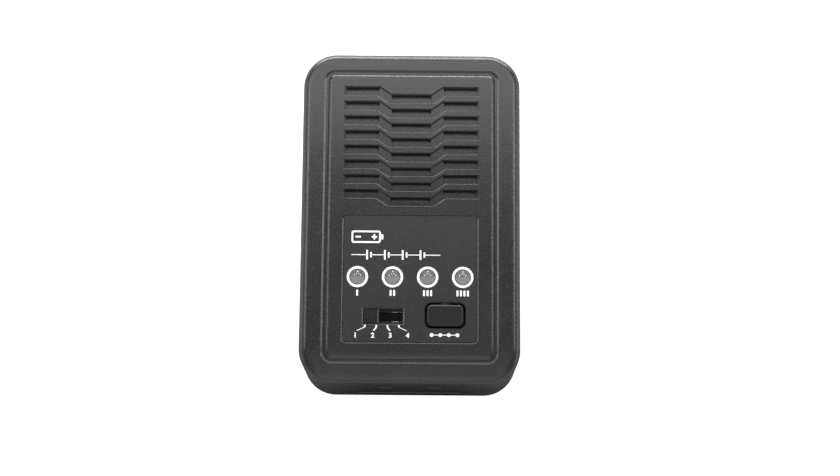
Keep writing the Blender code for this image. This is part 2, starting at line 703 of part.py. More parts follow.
def front_windows(mesh):
    """Cut the two socket windows, open at the parting edge, and the two vents above them."""
    through = (-HALF_LENGTH - CUT_REACH, -HALF_LENGTH + WALL + CUT_REACH)
    sockets = ((OUTPUT_X, OUTPUT_WIDTH, OUTPUT_HEIGHT), (BALANCE_X, BALANCE_WIDTH, BALANCE_HEIGHT))
    for x, width, height in sockets:
        half = width / 2 + SOCKET_CLEARANCE
        box(mesh, (x - half, x + half), through, (PARTING_Z, COVER_EDGE_Z + height + SOCKET_CLEARANCE))
    for side in (-1, 1):
        centre = (side * FRONT_VENT_X, UNDERSIDE_Z + FRONT_VENT_RISE)
        vent = rounded_rectangle(FRONT_VENT_WIDTH, FRONT_VENT_HEIGHT, FRONT_VENT_CORNER, centre,
                                 SMALL_CORNER_STEPS)
        prism(mesh, vent, through[0], through[1], axis="Y")


def inlet_outline(clearance=0.0):
    """Return the outside of the mains inlet in XZ, square at its lower corners."""
    half = INLET_WIDTH / 2 + clearance
    top = COVER_EDGE_Z + INLET_HEIGHT + clearance
    corner = (half - INLET_CORNER, top - INLET_CORNER)
    right = [(half, COVER_EDGE_Z)] + arc(corner, INLET_CORNER, 0.0, 90.0, CORNER_STEPS)
    return right + [(-x, z) for x, z in reversed(right)]


def inlet_window(mesh):
    """Cut the inlet window, open at the parting edge of the cover."""
    outline = [(x, z if z > COVER_EDGE_Z else PARTING_Z) for x, z in inlet_outline(SOCKET_CLEARANCE)]
    prism(mesh, outline, HALF_LENGTH - WALL - CUT_REACH, HALF_LENGTH + CUT_REACH, axis="Y")


def case_screw_places():
    """Return the X and Y of each case screw."""
    return [(side_x * CASE_SCREW_X, side_y * CASE_SCREW_Y) for side_x, side_y in FOUR_CORNERS]


def control_screw_places():
    """Return the X and Y of each control board screw."""
    rear_left = (-CONTROL_POST_X, CONTROL_REAR_Y - CONTROL_POST_REAR_INSET)
    front_right = (CONTROL_POST_X, CONTROL_FRONT_Y + CONTROL_POST_FRONT_INSET)
    return [rear_left, front_right]


def cover_bosses(mesh):
    """Add the four screw bosses and the two control board posts under the face."""
    top = CEILING_Z + JOIN_DEPTH
    for place in case_screw_places():
        rod(mesh, BOSS_DIAMETER / 2, PILLAR_TOP_Z + SEAT_GAP, top, place)
    for place in control_screw_places():
        rod(mesh, CONTROL_POST_DIAMETER / 2, CONTROL_TOP_Z + SEAT_GAP, top, place)


def boss_bores(mesh):
    """Cut the blind screw bores of the bosses and posts."""
    bore = SCREW_DIAMETER / 2 + SCREW_CLEARANCE
    end = screw_seat_z() + SCREW_LENGTH + SCREW_CLEARANCE
    for place in case_screw_places():
        rod(mesh, bore, PILLAR_TOP_Z - CUT_REACH, end, place)
    bore = SMALL_SCREW_DIAMETER / 2 + SCREW_CLEARANCE
    end = CONTROL_Z - SEAT_GAP + SMALL_SCREW_LENGTH + SCREW_CLEARANCE
    for place in control_screw_places():
        rod(mesh, bore, CONTROL_TOP_Z - CUT_REACH, end, place)


def screw_seat_z():
    """Return the height of the seat that a case screw's head draws up against."""
    return PILLAR_TOP_Z - SCREW_SEAT_WEB


def make_top_cover(charger, finish):
    """Model the top cover with its grille, openings and bosses."""
    cover = charger.piece("top_cover", shaped(cover_shell), finish)
    charger.join(cover, "cover_boss_tool", shaped(cover_bosses))
    charger.cut(cover, "boss_bore_tool", shaped(boss_bores))
    charger.cut(cover, "grille_recess_tool", shaped(grille_recesses))
    charger.cut(cover, "grille_slot_tool", shaped(grille_slots))
    recess = rounded_rectangle(LABEL_WIDTH + 2 * LABEL_EDGE_GAP, LABEL_LENGTH + 2 * LABEL_EDGE_GAP,
                               LABEL_CORNER_RADIUS + LABEL_EDGE_GAP, (0.0, LABEL_CENTRE_Y))
    charger.cut(cover, "label_recess_tool", shaped(prism, recess, LABEL_FLOOR_Z, FACE_Z + CUT_REACH))
    charger.cut(cover, "led_hole_tool", shaped(led_holes))
    charger.cut(cover, "switch_opening_tool", shaped(switch_opening))
    charger.cut(cover, "button_opening_tool", shaped(button_opening))
    charger.cut(cover, "front_recess_tool", shaped(front_recess))
    charger.cut(cover, "front_window_tool", shaped(front_windows))
    charger.cut(cover, "inlet_window_tool", shaped(inlet_window))


def base_shell(mesh):
    """Loft the base tray: its underside, outer wall, lip and floor."""
    lip_outer = WALL - LIP_THICKNESS + LIP_CLEARANCE
    lip_inner = lip_outer + LIP_THICKNESS
    loft(mesh, [
        case_loop(BASE_EDGE_CHAMFER, UNDERSIDE_Z),
        case_loop(0.0, UNDERSIDE_Z + BASE_EDGE_CHAMFER),
        case_loop(0.0, PARTING_Z),
        case_loop(lip_outer, PARTING_Z),
        case_loop(lip_outer, PARTING_Z + LIP_HEIGHT),
        case_loop(lip_inner, PARTING_Z + LIP_HEIGHT),
        case_loop(lip_inner, FLOOR_Z),
    ])


def lip_gaps(mesh):
    """Cut the lip away where the sockets and the inlet pass over the rim."""
    deep = WALL + LIP_THICKNESS + CUT_REACH
    top = PARTING_Z + LIP_HEIGHT + CUT_REACH
    ends = ((FRONT_RECESS_WIDTH / 2, -HALF_LENGTH), (INLET_WIDTH / 2 + WALL, HALF_LENGTH))
    for half, end in ends:
        box(mesh, (-half, half), (end - deep, end + deep), (PARTING_Z, top))


def standoff_places():
    """Return the X and Y of each main board standoff."""
    return [(side_x * STANDOFF_X, side_y * STANDOFF_Y) for side_x, side_y in FOUR_CORNERS]


def board_screw_places():
    """Return the X and Y of the two main board screws, on opposite corners."""
    return [standoff_places()[1], standoff_places()[3]]


def foot_places():
    """Return the X and Y of each foot."""
    return [(side_x * FOOT_X, side_y * FOOT_Y) for side_x, side_y in FOUR_CORNERS]


def base_pillars(mesh):
    """Add the screw pillars and the board standoffs on the floor."""
    foot = FLOOR_Z - JOIN_DEPTH
    for place in case_screw_places():
        rod(mesh, PILLAR_DIAMETER / 2, foot, PILLAR_TOP_Z, place)
    for place in standoff_places():
        rod(mesh, STANDOFF_DIAMETER / 2, foot, BOARD_Z - SEAT_GAP, place)


def base_holes(mesh):
    """Cut the stepped case screw holes, the board screw bores, the foot recesses and the vents."""
    below = UNDERSIDE_Z - CUT_REACH
    seat = screw_seat_z()
    head = SCREW_HEAD_DIAMETER / 2 + SCREW_CLEARANCE
    shank = SCREW_DIAMETER / 2 + SCREW_CLEARANCE
    stepped = [(head, below), (head, seat), (shank, seat), (shank, PILLAR_TOP_Z + CUT_REACH)]
    for place in case_screw_places():
        turned(mesh, stepped, place, SMALL_ROUND_STEPS)
    bore = SMALL_SCREW_DIAMETER / 2 + SCREW_CLEARANCE
    bore_end = BOARD_TOP_Z + SEAT_GAP - SMALL_SCREW_LENGTH - SCREW_CLEARANCE
    for place in board_screw_places():
        rod(mesh, bore, bore_end, BOARD_Z + CUT_REACH, place)
    for place in foot_places():
        rod(mesh, FOOT_DIAMETER / 2 + SEAT_GAP, below, UNDERSIDE_Z + FOOT_RECESS, place, ROUND_STEPS)
    for index in range(BASE_VENTS):
        y = (index - (BASE_VENTS - 1) / 2) * BASE_VENT_PITCH
        slot = rounded_rectangle(BASE_VENT_LENGTH, BASE_VENT_WIDTH, BASE_VENT_WIDTH / 2, (0.0, y))
        prism(mesh, slot, below, FLOOR_Z + CUT_REACH)


def make_base_cover(charger, finish):
    """Model the base with its lip, pillars, holes and vents."""
    base = charger.piece("base_cover", shaped(base_shell), finish)
    charger.cut(base, "lip_gap_tool", shaped(lip_gaps))
    charger.join(base, "base_pillar_tool", shaped(base_pillars))
    charger.cut(base, "base_hole_tool", shaped(base_holes))


def screw_profile(diameter, length, head_diameter, head_height):
    """Return a pan head screw's profile, with its head's underside at zero and its shank up."""
    dome = arc((head_diameter / 2 - head_height, 0.0), head_height, 270.0, 360.0, SMALL_CORNER_STEPS)
    shank = [
        (diameter / 2, 0.0),
        (diameter / 2, length - diameter / 2),
        (SCREW_TIP_DIAMETER / 2, length),
    ]
    return dome + shank


def make_feet(charger, rubber):
    """Model the four rubber feet."""
    radius = FOOT_DIAMETER / 2
    profile = [
        (radius - FOOT_EDGE, 0.0),
        (radius, FOOT_EDGE),
        (radius, FOOT_PROUD + FOOT_RECESS - SEAT_GAP),
    ]
    for index, (x, y) in enumerate(foot_places(), start=1):
        charger.piece(f"rubber_foot_{index}", shaped(turned, profile), rubber, (x, y, 0.0))


def make_screws(charger, steel):
    """Model the case screws, which point up, and the two pairs of board screws."""
    long = screw_profile(SCREW_DIAMETER, SCREW_LENGTH, SCREW_HEAD_DIAMETER, SCREW_HEAD_HEIGHT)
    small = screw_profile(SMALL_SCREW_DIAMETER, SMALL_SCREW_LENGTH,
                          SMALL_SCREW_HEAD_DIAMETER, SMALL_SCREW_HEAD_HEIGHT)
    downward = [(radius, -height) for radius, height in reversed(small)]
    groups = (
        ("case_screw", long, case_screw_places(), screw_seat_z() - SEAT_GAP),
        ("board_screw", downward, board_screw_places(), BOARD_TOP_Z + SEAT_GAP),
        ("control_screw", small, control_screw_places(), CONTROL_Z - SEAT_GAP),
    )
    for name, profile, places, z in groups:
        for index, (x, y) in enumerate(places, start=1):
            shape = shaped(turned, profile, steps=SMALL_ROUND_STEPS)
            charger.piece(f"{name}_{index}", shape, steel, (x, y, z))


def label_openings(mesh):
    """Cut the label round the lamps, the switch and the button."""
    led_holes(mesh)
    length = SWITCH_OPENING_LENGTH + 2 * SWITCH_CHAMFER
    depth = SWITCH_OPENING_DEPTH + 2 * SWITCH_CHAMFER
    prism(mesh, rectangle(length, depth, (SWITCH_X, SWITCH_Y)), CEILING_Z, FACE_Z + CUT_REACH)
    button_opening(mesh, SEAT_GAP, NECK_REACH - NECK_POCKET_GAP)


def make_face_label(charger, finish):
    """Model the label sheet."""
    outline = rounded_rectangle(LABEL_WIDTH, LABEL_LENGTH, LABEL_CORNER_RADIUS, (0.0, LABEL_CENTRE_Y))
    sheet = shaped(prism, outline, LABEL_TOP_Z - LABEL_THICKNESS, LABEL_TOP_Z)
    label = charger.piece("face_label", sheet, finish)
    charger.cut(label, "label_opening_tool", shaped(label_openings))


def make_leds(charger, finish):
    """Model the flat-topped status lamps, each with its two leads to the control board."""
    top = FACE_Z - LED_SINK
    flange_z = top - LED_BODY_HEIGHT
    body = [
        (LED_FLANGE_DIAMETER / 2, 0.0),
        (LED_FLANGE_DIAMETER / 2, LED_FLANGE_HEIGHT),
        (LED_DIAMETER / 2, LED_FLANGE_HEIGHT),
        (LED_DIAMETER / 2, LED_BODY_HEIGHT - LED_EDGE),
        (LED_DIAMETER / 2 - LED_EDGE, LED_BODY_HEIGHT),
    ]
    for index, x in enumerate(led_places(), start=1):
        led = charger.piece(f"status_led_{index}", shaped(turned, body), finish, (x, LED_Y, flange_z))
        leads = bmesh.new()
        for side in (-1, 1):
            lead = rectangle(LED_LEAD, LED_LEAD, (side * LED_LEAD_PITCH / 2, 0.0))
            prism(leads, lead, ON_CONTROL_Z - flange_z, JOIN_DEPTH)
        charger.join(led, f"led_lead_tool_{index}", leads, (x, LED_Y, flange_z))


def make_current_switch(charger, finishes):
    """Model the slide switch: its base, its metal shell and the slider that moves along X."""
    length, width = SWITCH_BODY_LENGTH, SWITCH_BODY_WIDTH
    place = (SWITCH_X, SWITCH_Y, ON_CONTROL_Z)
    shell_top = SWITCH_TOP_Z - ON_CONTROL_Z
    shell_under = shell_top - SWITCH_SHELL_THICKNESS
    body_top = shell_under - SEAT_GAP
    block = shaped(prism, rectangle(length, width), 0.0, body_top)
    body = charger.piece("switch_body", block, finishes["device"], place)
    channel = rectangle(SWITCH_OPENING_LENGTH, SWITCH_OPENING_DEPTH)
    channel_cut = shaped(prism, channel, SWITCH_BASE_FLOOR, body_top + CUT_REACH)
    charger.cut(body, "switch_channel_tool", channel_cut, place)

    skin = SWITCH_SHELL_THICKNESS + SEAT_GAP
    skirt_z = shell_top - SWITCH_SHELL_SKIRT
    folded = shaped(prism, rectangle(length, width + 2 * skin), skirt_z, shell_top)
    shell = charger.piece("switch_shell", folded, finishes["steel"], place)
    hollow = rectangle(length + 2 * CUT_REACH, width + 2 * SEAT_GAP)
    hollow_cut = shaped(prism, hollow, skirt_z - CUT_REACH, shell_under)
    charger.cut(shell, "shell_hollow_tool", hollow_cut, place)
    slot = rectangle(SLIDER_STEM_LENGTH + SWITCH_TRAVEL + 2 * SLIDER_STEM_CLEARANCE,
                     SLIDER_STEM_WIDTH + 2 * SLIDER_STEM_CLEARANCE)
    slot_cut = shaped(prism, slot, shell_under - CUT_REACH, shell_top + CUT_REACH)
    charger.cut(shell, "shell_slot_tool", slot_cut, place)

    knob = (SLIDER_X, SWITCH_Y, FACE_Z)
    slider = charger.piece("current_slider", shaped(slider_head), finishes["slider"], knob)
    charger.join(slider, "slider_stem_tool", shaped(slider_stem), knob)


def slider_head_under():
    """Return the height of the underside of the slider's head, from the face."""
    return SWITCH_TOP_Z + SLIDER_HEAD_GAP - FACE_Z


def slider_head(mesh):
    """Extrude the slider's ribbed head along Y."""
    half = SLIDER_LENGTH / 2
    rib_width = SLIDER_LENGTH / (2 * SLIDER_RIBS - 1)
    top = -SLIDER_SINK
    valley = top - SLIDER_RIB_HEIGHT
    outline = [(half, slider_head_under()), (-half, slider_head_under())]
    for rib in range(SLIDER_RIBS):
        west = -half + 2 * rib * rib_width
        east = west + rib_width
        outline += [(west, valley), (west + SLIDER_RIB_DRAFT, top)]
        outline += [(east - SLIDER_RIB_DRAFT, top), (east, valley)]
    prism(mesh, outline, -SLIDER_WIDTH / 2, SLIDER_WIDTH / 2, axis="Y")


def slider_stem(mesh):
    """Build the slider's stem through the shell and its carriage in the switch body."""
    stem = rectangle(SLIDER_STEM_LENGTH, SLIDER_STEM_WIDTH)
    carriage = rectangle(SLIDER_LENGTH, SLIDER_WIDTH)
    carriage_top = SWITCH_TOP_Z - SWITCH_SHELL_THICKNESS - SLIDER_HEAD_GAP - FACE_Z
    carriage_under = ON_CONTROL_Z + SWITCH_BASE_FLOOR + SEAT_GAP - FACE_Z
    loft(mesh, [
        at_height(carriage, carriage_under),
        at_height(carriage, carriage_top),
        at_height(stem, carriage_top),
        at_height(stem, slider_head_under() + JOIN_DEPTH),
    ])


def make_type_button(charger, finish):
    """Model the button flap on its neck, with the post that reaches down to the push switch."""
    hinge = (BUTTON_X, NECK_ROOT_Y, HINGE_Z)
    centre = (0.0, BUTTON_Y - NECK_ROOT_Y)
    top = BUTTON_TOP_Z - HINGE_Z
    under = BUTTON_UNDER_Z - HINGE_Z
    loops = [at_height(rounded_rectangle(BUTTON_WIDTH, BUTTON_LENGTH, BUTTON_CORNER_RADIUS, centre), under)]
    rounding = arc((BUTTON_EDGE_ROUND, -BUTTON_EDGE_ROUND), BUTTON_EDGE_ROUND, 180.0, 90.0, FILLET_STEPS)
    for inset, height in rounding:
        outline = rounded_rectangle(BUTTON_WIDTH - 2 * inset, BUTTON_LENGTH - 2 * inset,
                                    BUTTON_CORNER_RADIUS - inset, centre)
        loops.append(at_height(outline, top + height))
    button = charger.piece("type_button", shaped(loft, loops), finish, hinge)
    neck_front = centre[1] + BUTTON_LENGTH / 2 - JOIN_DEPTH
    neck = bmesh.new()
    box(neck, (-NECK_WIDTH / 2, NECK_WIDTH / 2), (neck_front, 0.0), (-NECK_THICKNESS / 2, NECK_THICKNESS / 2))
    charger.join(button, "button_neck_tool", neck, hinge)
    post = shaped(rod, BUTTON_POST_DIAMETER / 2, under - BUTTON_POST_LENGTH, under + JOIN_DEPTH, centre)
    charger.join(button, "button_post_tool", post, hinge)


def make_tact_switch(charger, finishes):
    """Model the push switch under the button and its plunger, which moves along Z."""
    place = (BUTTON_X, BUTTON_Y, ON_CONTROL_Z)
    block = shaped(prism, rectangle(TACT_SIZE, TACT_SIZE), 0.0, TACT_HEIGHT)
    tact = charger.piece("tact_switch", block, finishes["device"], place)
    radius = PLUNGER_DIAMETER / 2
    bore_floor = TACT_HEIGHT - PLUNGER_SEAT - PLUNGER_TRAVEL
    bore = shaped(rod, radius + PLUNGER_CLEARANCE, bore_floor, TACT_HEIGHT + CUT_REACH)
    charger.cut(tact, "tact_bore_tool", bore, place)
    profile = [
        (radius, TACT_TOP_Z - PLUNGER_SEAT - PLUNGER_TOP_Z),
        (radius, -PLUNGER_EDGE),
        (radius - PLUNGER_EDGE, 0.0),
    ]
    plunger = shaped(turned, profile, steps=SMALL_ROUND_STEPS)
    charger.piece("tact_plunger", plunger, finishes["button"], (BUTTON_X, BUTTON_Y, PLUNGER_TOP_Z))


def screw_holes(mesh, places):
    """Cut a board's small screw holes, from its underside at zero."""
    for place in places:
        rod(mesh, SMALL_SCREW_DIAMETER / 2 + SCREW_CLEARANCE, -CUT_REACH, BOARD_THICKNESS + CUT_REACH, place)


def make_control_board(charger, finishes):
    """Model the control board and its processor."""
    middle = (CONTROL_FRONT_Y + CONTROL_REAR_Y) / 2
    outline = rectangle(CONTROL_WIDTH, CONTROL_REAR_Y - CONTROL_FRONT_Y, (0.0, middle))
    place = (0.0, 0.0, CONTROL_Z)
    sheet = shaped(prism, outline, 0.0, BOARD_THICKNESS)
    board = charger.piece("control_board", sheet, finishes["board"], place)
    charger.cut(board, "control_hole_tool", shaped(screw_holes, control_screw_places()), place)
    outline = rounded_rectangle(CHIP_SIZE, CHIP_SIZE, CHIP_CORNER, steps=1)
    chip = shaped(prism, outline, 0.0, CHIP_HEIGHT)
    chip_y = CONTROL_REAR_Y - CHIP_REAR_INSET
    charger.piece("processor_chip", chip, finishes["device"], (0.0, chip_y, ON_CONTROL_Z))


def board_outline():
    """Return the main board's outline, notched at the corners for the screw pillars."""
    quarter = [
        (BOARD_HALF_WIDTH, BOARD_NOTCH_Y),
        (BOARD_NOTCH_X, BOARD_NOTCH_Y),
        (BOARD_NOTCH_X, BOARD_HALF_LENGTH),
    ]
    rear = quarter + [(-x, y) for x, y in reversed(quarter)]
    return rear + [(-x, -y) for x, y in rear]


def make_main_board(charger, finish):
    """Model the main board with its two screw holes."""
    place = (0.0, 0.0, BOARD_Z)
    board = charger.piece("main_board", shaped(prism, board_outline(), 0.0, BOARD_THICKNESS), finish, place)
    charger.cut(board, "board_hole_tool", shaped(screw_holes, board_screw_places()), place)


def figure_eight():
    """Return the mouth of the mains inlet in XZ, two barrels joined by a waist."""
    lean = math.degrees(math.asin(INLET_WAIST / INLET_BARREL_RADIUS))
    half = INLET_PIN_PITCH / 2
    right = arc((half, INLET_CENTRE_Z), INLET_BARREL_RADIUS, lean - 180.0, 180.0 - lean, SMALL_ROUND_STEPS)
    left = [(-x, 2 * INLET_CENTRE_Z - z) for x, z in right]
    return right + left


def make_mains_inlet(charger, finishes):
    """Model the two-pin mains inlet, and its pins with their solder tabs."""
    rear = HALF_LENGTH - INLET_LENGTH
    cavity_end = HALF_LENGTH - INLET_CAVITY_DEPTH
    block = shaped(prism, inlet_outline(), rear, HALF_LENGTH, axis="Y")
    inlet = charger.piece("mains_inlet", block, finishes["inlet"])
    mouth = shaped(prism, figure_eight(), cavity_end, HALF_LENGTH + CUT_REACH, axis="Y")
    charger.cut(inlet, "inlet_cavity_tool", mouth)
    holes = bmesh.new()
    radius = INLET_PIN_DIAMETER / 2
    tip = HALF_LENGTH - INLET_PIN_SETBACK
    tail = rear - INLET_PIN_TAIL
    tab_y = tail + JOIN_DEPTH
    profile = [(radius, tail), (radius, tip - INLET_PIN_EDGE), (radius - INLET_PIN_EDGE, tip)]
    for index, side in enumerate((-1, 1), start=1):
        place = (side * INLET_PIN_PITCH / 2, 0.0, INLET_CENTRE_Z)
        shape = shaped(turned, profile, steps=SMALL_ROUND_STEPS, axis="Y")
        pin = charger.piece(f"inlet_pin_{index}", shape, finishes["brass"], place)
        tab = bmesh.new()
        box(tab, (-INLET_TAB_WIDTH / 2, INLET_TAB_WIDTH / 2), (tab_y, tab_y + INLET_TAB_THICKNESS),
            (ON_BOARD_Z - INLET_CENTRE_Z, 0.0))
        charger.join(pin, f"inlet_tab_tool_{index}", tab, place)
        hole = circle(radius + SEAT_GAP, (place[0], place[2]), SMALL_ROUND_STEPS)
        prism(holes, hole, rear - CUT_REACH, cavity_end + CUT_REACH, axis="Y")
    charger.cut(inlet, "inlet_hole_tool", holes)


def bent_pin(mesh, x, z, front_y, rear_y):
    """Add a square pin that runs back from the mouth of a socket and bends down to the board."""
    half = PIN_SIZE / 2
    outline = [
        (front_y, z - half),
        (front_y, z + half),
        (rear_y, z + half),
        (rear_y, ON_BOARD_Z),
        (rear_y - PIN_SIZE, ON_BOARD_Z),
        (rear_y - PIN_SIZE, z - half),
    ]
    prism(mesh, outline, x - half, x + half, axis="X")


def make_balance_socket(charger, finishes):
    """Model the keyed balance socket and its row of bent pins."""
    half = BALANCE_WIDTH / 2
    rear = FRONT_FACE_Y + BALANCE_LENGTH
    cavity_end = FRONT_FACE_Y + BALANCE_CAVITY_DEPTH
    low, high = COVER_EDGE_Z, COVER_EDGE_Z + BALANCE_HEIGHT
    shell = bmesh.new()
    box(shell, (BALANCE_X - half, BALANCE_X + half), (FRONT_FACE_Y, rear), (low, high))
    socket = charger.piece("balance_socket", shell, finishes["socket"])
    cavity = bmesh.new()
    inner = half - BALANCE_WALL
    box(cavity, (BALANCE_X - inner, BALANCE_X + inner), (FRONT_FACE_Y - CUT_REACH, cavity_end),
        (low + BALANCE_WALL, high - BALANCE_WALL))
    charger.cut(socket, "balance_cavity_tool", cavity)
    z = (low + high) / 2
    keys = bmesh.new()
    for side in (-1, 1):
        x = BALANCE_X + side * BALANCE_KEY_SPREAD / 2
        box(keys, (x - BALANCE_KEY_WIDTH / 2, x + BALANCE_KEY_WIDTH / 2),
            (FRONT_FACE_Y - CUT_REACH, FRONT_FACE_Y + BALANCE_KEY_DEPTH), (z, high + CUT_REACH))
    charger.cut(socket, "balance_key_tool", keys)
    holes = bmesh.new()
    for index in range(BALANCE_PINS):
        x = BALANCE_X + (index - (BALANCE_PINS - 1) / 2) * BALANCE_PITCH
        pin = bmesh.new()
        bent_pin(pin, x, z, FRONT_FACE_Y + PIN_SETBACK, rear + PIN_TAIL)
        charger.piece(f"balance_pin_{index + 1}", pin, finishes["brass"])
        reach = PIN_SIZE / 2 + PIN_HOLE_CLEARANCE
        box(holes, (x - reach, x + reach), (cavity_end - CUT_REACH, rear + CUT_REACH), (z - reach, z + reach))
    charger.cut(socket, "balance_hole_tool", holes)


def output_slots():
    """Return the X and Z ranges of the output socket's two slots, one upright and one level."""
    z = COVER_EDGE_Z + OUTPUT_HEIGHT / 2
    long_half, short_half = OUTPUT_SLOT_LENGTH / 2, OUTPUT_SLOT_WIDTH / 2
    left, right = OUTPUT_X - OUTPUT_SLOT_SPREAD / 2, OUTPUT_X + OUTPUT_SLOT_SPREAD / 2
    upright = ((left - short_half, left + short_half), (z - long_half, z + long_half))
    level = ((right - long_half, right + long_half), (z - short_half, z + short_half))
    return upright, level


def make_output_socket(charger, finishes):
    """Model the output socket with an upright and a level slot, and a blade in each slot."""
    rear = FRONT_FACE_Y + OUTPUT_LENGTH
    centre = (OUTPUT_X, COVER_EDGE_Z + OUTPUT_HEIGHT / 2)
    outline = rounded_rectangle(OUTPUT_WIDTH, OUTPUT_HEIGHT, OUTPUT_CORNER, centre, steps=1)
    block = shaped(prism, outline, FRONT_FACE_Y, rear, axis="Y")
    socket = charger.piece("output_socket", block, finishes["socket"])
    slots = bmesh.new()
    slot_end = FRONT_FACE_Y + OUTPUT_SLOT_DEPTH
    for index, (x_range, z_range) in enumerate(output_slots(), start=1):
        box(slots, x_range, (FRONT_FACE_Y - CUT_REACH, slot_end), z_range)
        blade = bmesh.new()
        x = (x_range[0] + SEAT_GAP, x_range[1] - SEAT_GAP)
        z = (z_range[0] + SEAT_GAP, z_range[1] - SEAT_GAP)
        if x[1] - x[0] < z[1] - z[0]:
            x = (x[0], x[0] + OUTPUT_BLADE_THICKNESS)
        else:
            z = (z[1] - OUTPUT_BLADE_THICKNESS, z[1])
        box(blade, x, (FRONT_FACE_Y + OUTPUT_BLADE_SETBACK, slot_end - SEAT_GAP), z)
        charger.piece(f"output_blade_{index}", blade, finishes["brass"])
    charger.cut(socket, "output_slot_tool", slots)


def capacitor_profile(diameter, length):
    """Return an electrolytic can's profile, with the crimp groove near its foot."""
    radius = diameter / 2
    return [
        (radius - CAP_EDGE, 0.0),
        (radius, CAP_EDGE),
        (radius, CAP_GROOVE_RISE - CAP_EDGE),
        (radius - CAP_EDGE, CAP_GROOVE_RISE),
        (radius, CAP_GROOVE_RISE + CAP_EDGE),
        (radius, length - CAP_EDGE),
        (radius - CAP_EDGE, length),
    ]


def wound_ring(mesh, outer, inner, height):
    """Loft a wound ring core with bevelled edges, standing on its flat side."""
    section = [
        (outer - RING_EDGE, 0.0),
        (outer, RING_EDGE),
        (outer, height - RING_EDGE),
        (outer - RING_EDGE, height),
        (inner + RING_EDGE, height),
        (inner, height - RING_EDGE),
        (inner, RING_EDGE),
        (inner + RING_EDGE, 0.0),
    ]
    loft(mesh, [at_height(circle(radius), z) for radius, z in section], closed=True)


def make_fuse(charger, finish):
    """Model the tubular mains fuse with its end caps."""
    tube, cap = FUSE_DIAMETER / 2, FUSE_CAP_DIAMETER / 2
    half = FUSE_LENGTH / 2
    inner = half - FUSE_CAP_LENGTH
    profile = [(cap, -half), (cap, -inner), (tube, -inner), (tube, inner), (cap, inner), (cap, half)]
    fuse = shaped(turned, profile, steps=SMALL_ROUND_STEPS, axis="Y")
    charger.piece("mains_fuse", fuse, finish, (FUSE_X, FUSE_Y, ON_BOARD_Z + cap))


def make_mains_parts(charger, finishes):
    """Model the filter, rectifier and bulk capacitor behind the mains inlet."""
    outline = rounded_rectangle(XCAP_WIDTH, XCAP_LENGTH, XCAP_CORNER, steps=1)
    case = shaped(prism, outline, 0.0, XCAP_HEIGHT)
    charger.piece("filter_capacitor", case, finishes["yellow"], (XCAP_X, XCAP_Y, ON_BOARD_Z))
    choke = shaped(wound_ring, CHOKE_OUTER, CHOKE_INNER, CHOKE_HEIGHT)
    charger.piece("line_choke", choke, finishes["copper"], (0.0, CHOKE_Y, ON_BOARD_Z))
    outline = rounded_rectangle(BRIDGE_WIDTH, BRIDGE_LENGTH, BRIDGE_CORNER, steps=1)
    bridge = shaped(prism, outline, 0.0, BRIDGE_HEIGHT)
    charger.piece("bridge_rectifier", bridge, finishes["device"], (BRIDGE_X, BRIDGE_Y, ON_BOARD_Z))
    can = shaped(turned, capacitor_profile(BULK_DIAMETER, BULK_LENGTH), axis="Y")
    charger.piece("bulk_capacitor", can, finishes["can"],
                  (-BULK_OFFSET, BULK_FRONT_Y, ON_BOARD_Z + BULK_DIAMETER / 2))


def make_transformer(charger, finishes):
    """Model the transformer's core with its two windows, and the coil round its middle leg."""
    place = (TRANSFORMER_X, TRANSFORMER_Y, ON_BOARD_Z)
    half_depth = CORE_THICKNESS / 2
    outline = rectangle(CORE_WIDTH, CORE_HEIGHT, (0.0, CORE_HEIGHT / 2))
    frame = shaped(prism, outline, -half_depth, half_depth, axis="Y")
    core = charger.piece("transformer_core", frame, finishes["ferrite"], place)
    windows = bmesh.new()
    near, far = CORE_MIDDLE_LEG / 2, CORE_WIDTH / 2 - CORE_SIDE_LEG
    through = (-half_depth - CUT_REACH, half_depth + CUT_REACH)
    for west, east in ((-far, -near), (near, far)):
        box(windows, (west, east), through, (CORE_YOKE, CORE_HEIGHT - CORE_YOKE))
    charger.cut(core, "core_window_tool", windows, place)
    low, high = CORE_YOKE + COIL_GAP, CORE_HEIGHT - CORE_YOKE - COIL_GAP
    flange = (2 * (far - COIL_GAP), COIL_LENGTH)
    winding = (flange[0] - 2 * COIL_FLANGE_STEP, flange[1] - 2 * COIL_FLANGE_STEP)
    bore = (CORE_MIDDLE_LEG + 2 * COIL_GAP, CORE_THICKNESS + 2 * COIL_GAP)
    levels = [
        (flange, low),
        (flange, low + COIL_FLANGE),
        (winding, low + COIL_FLANGE),
        (winding, high - COIL_FLANGE),
        (flange, high - COIL_FLANGE),
        (flange, high),
        (bore, high),
        (bore, low),
    ]
    loops = [at_height(rectangle(width, length), z) for (width, length), z in levels]
    charger.piece("transformer_coil", shaped(loft, loops, closed=True), finishes["tape"], place)


def heatsink_outline(length, fins, side):
    """Return a comb section in XY: a plate with fins that point outwards."""
    inner = side * HEATSINK_X
    plate = inner + side * HEATSINK_PLATE
    tip = plate + side * HEATSINK_FIN
    pitch = (length - HEATSINK_FIN_THICKNESS) / (fins - 1)
    comb = []
    for fin in range(fins):
        y = -length / 2 + fin * pitch
        comb += [(plate, y), (tip, y), (tip, y + HEATSINK_FIN_THICKNESS), (plate, y + HEATSINK_FIN_THICKNESS)]
    return [(inner, length / 2), (inner, -length / 2)] + comb[1:-1]


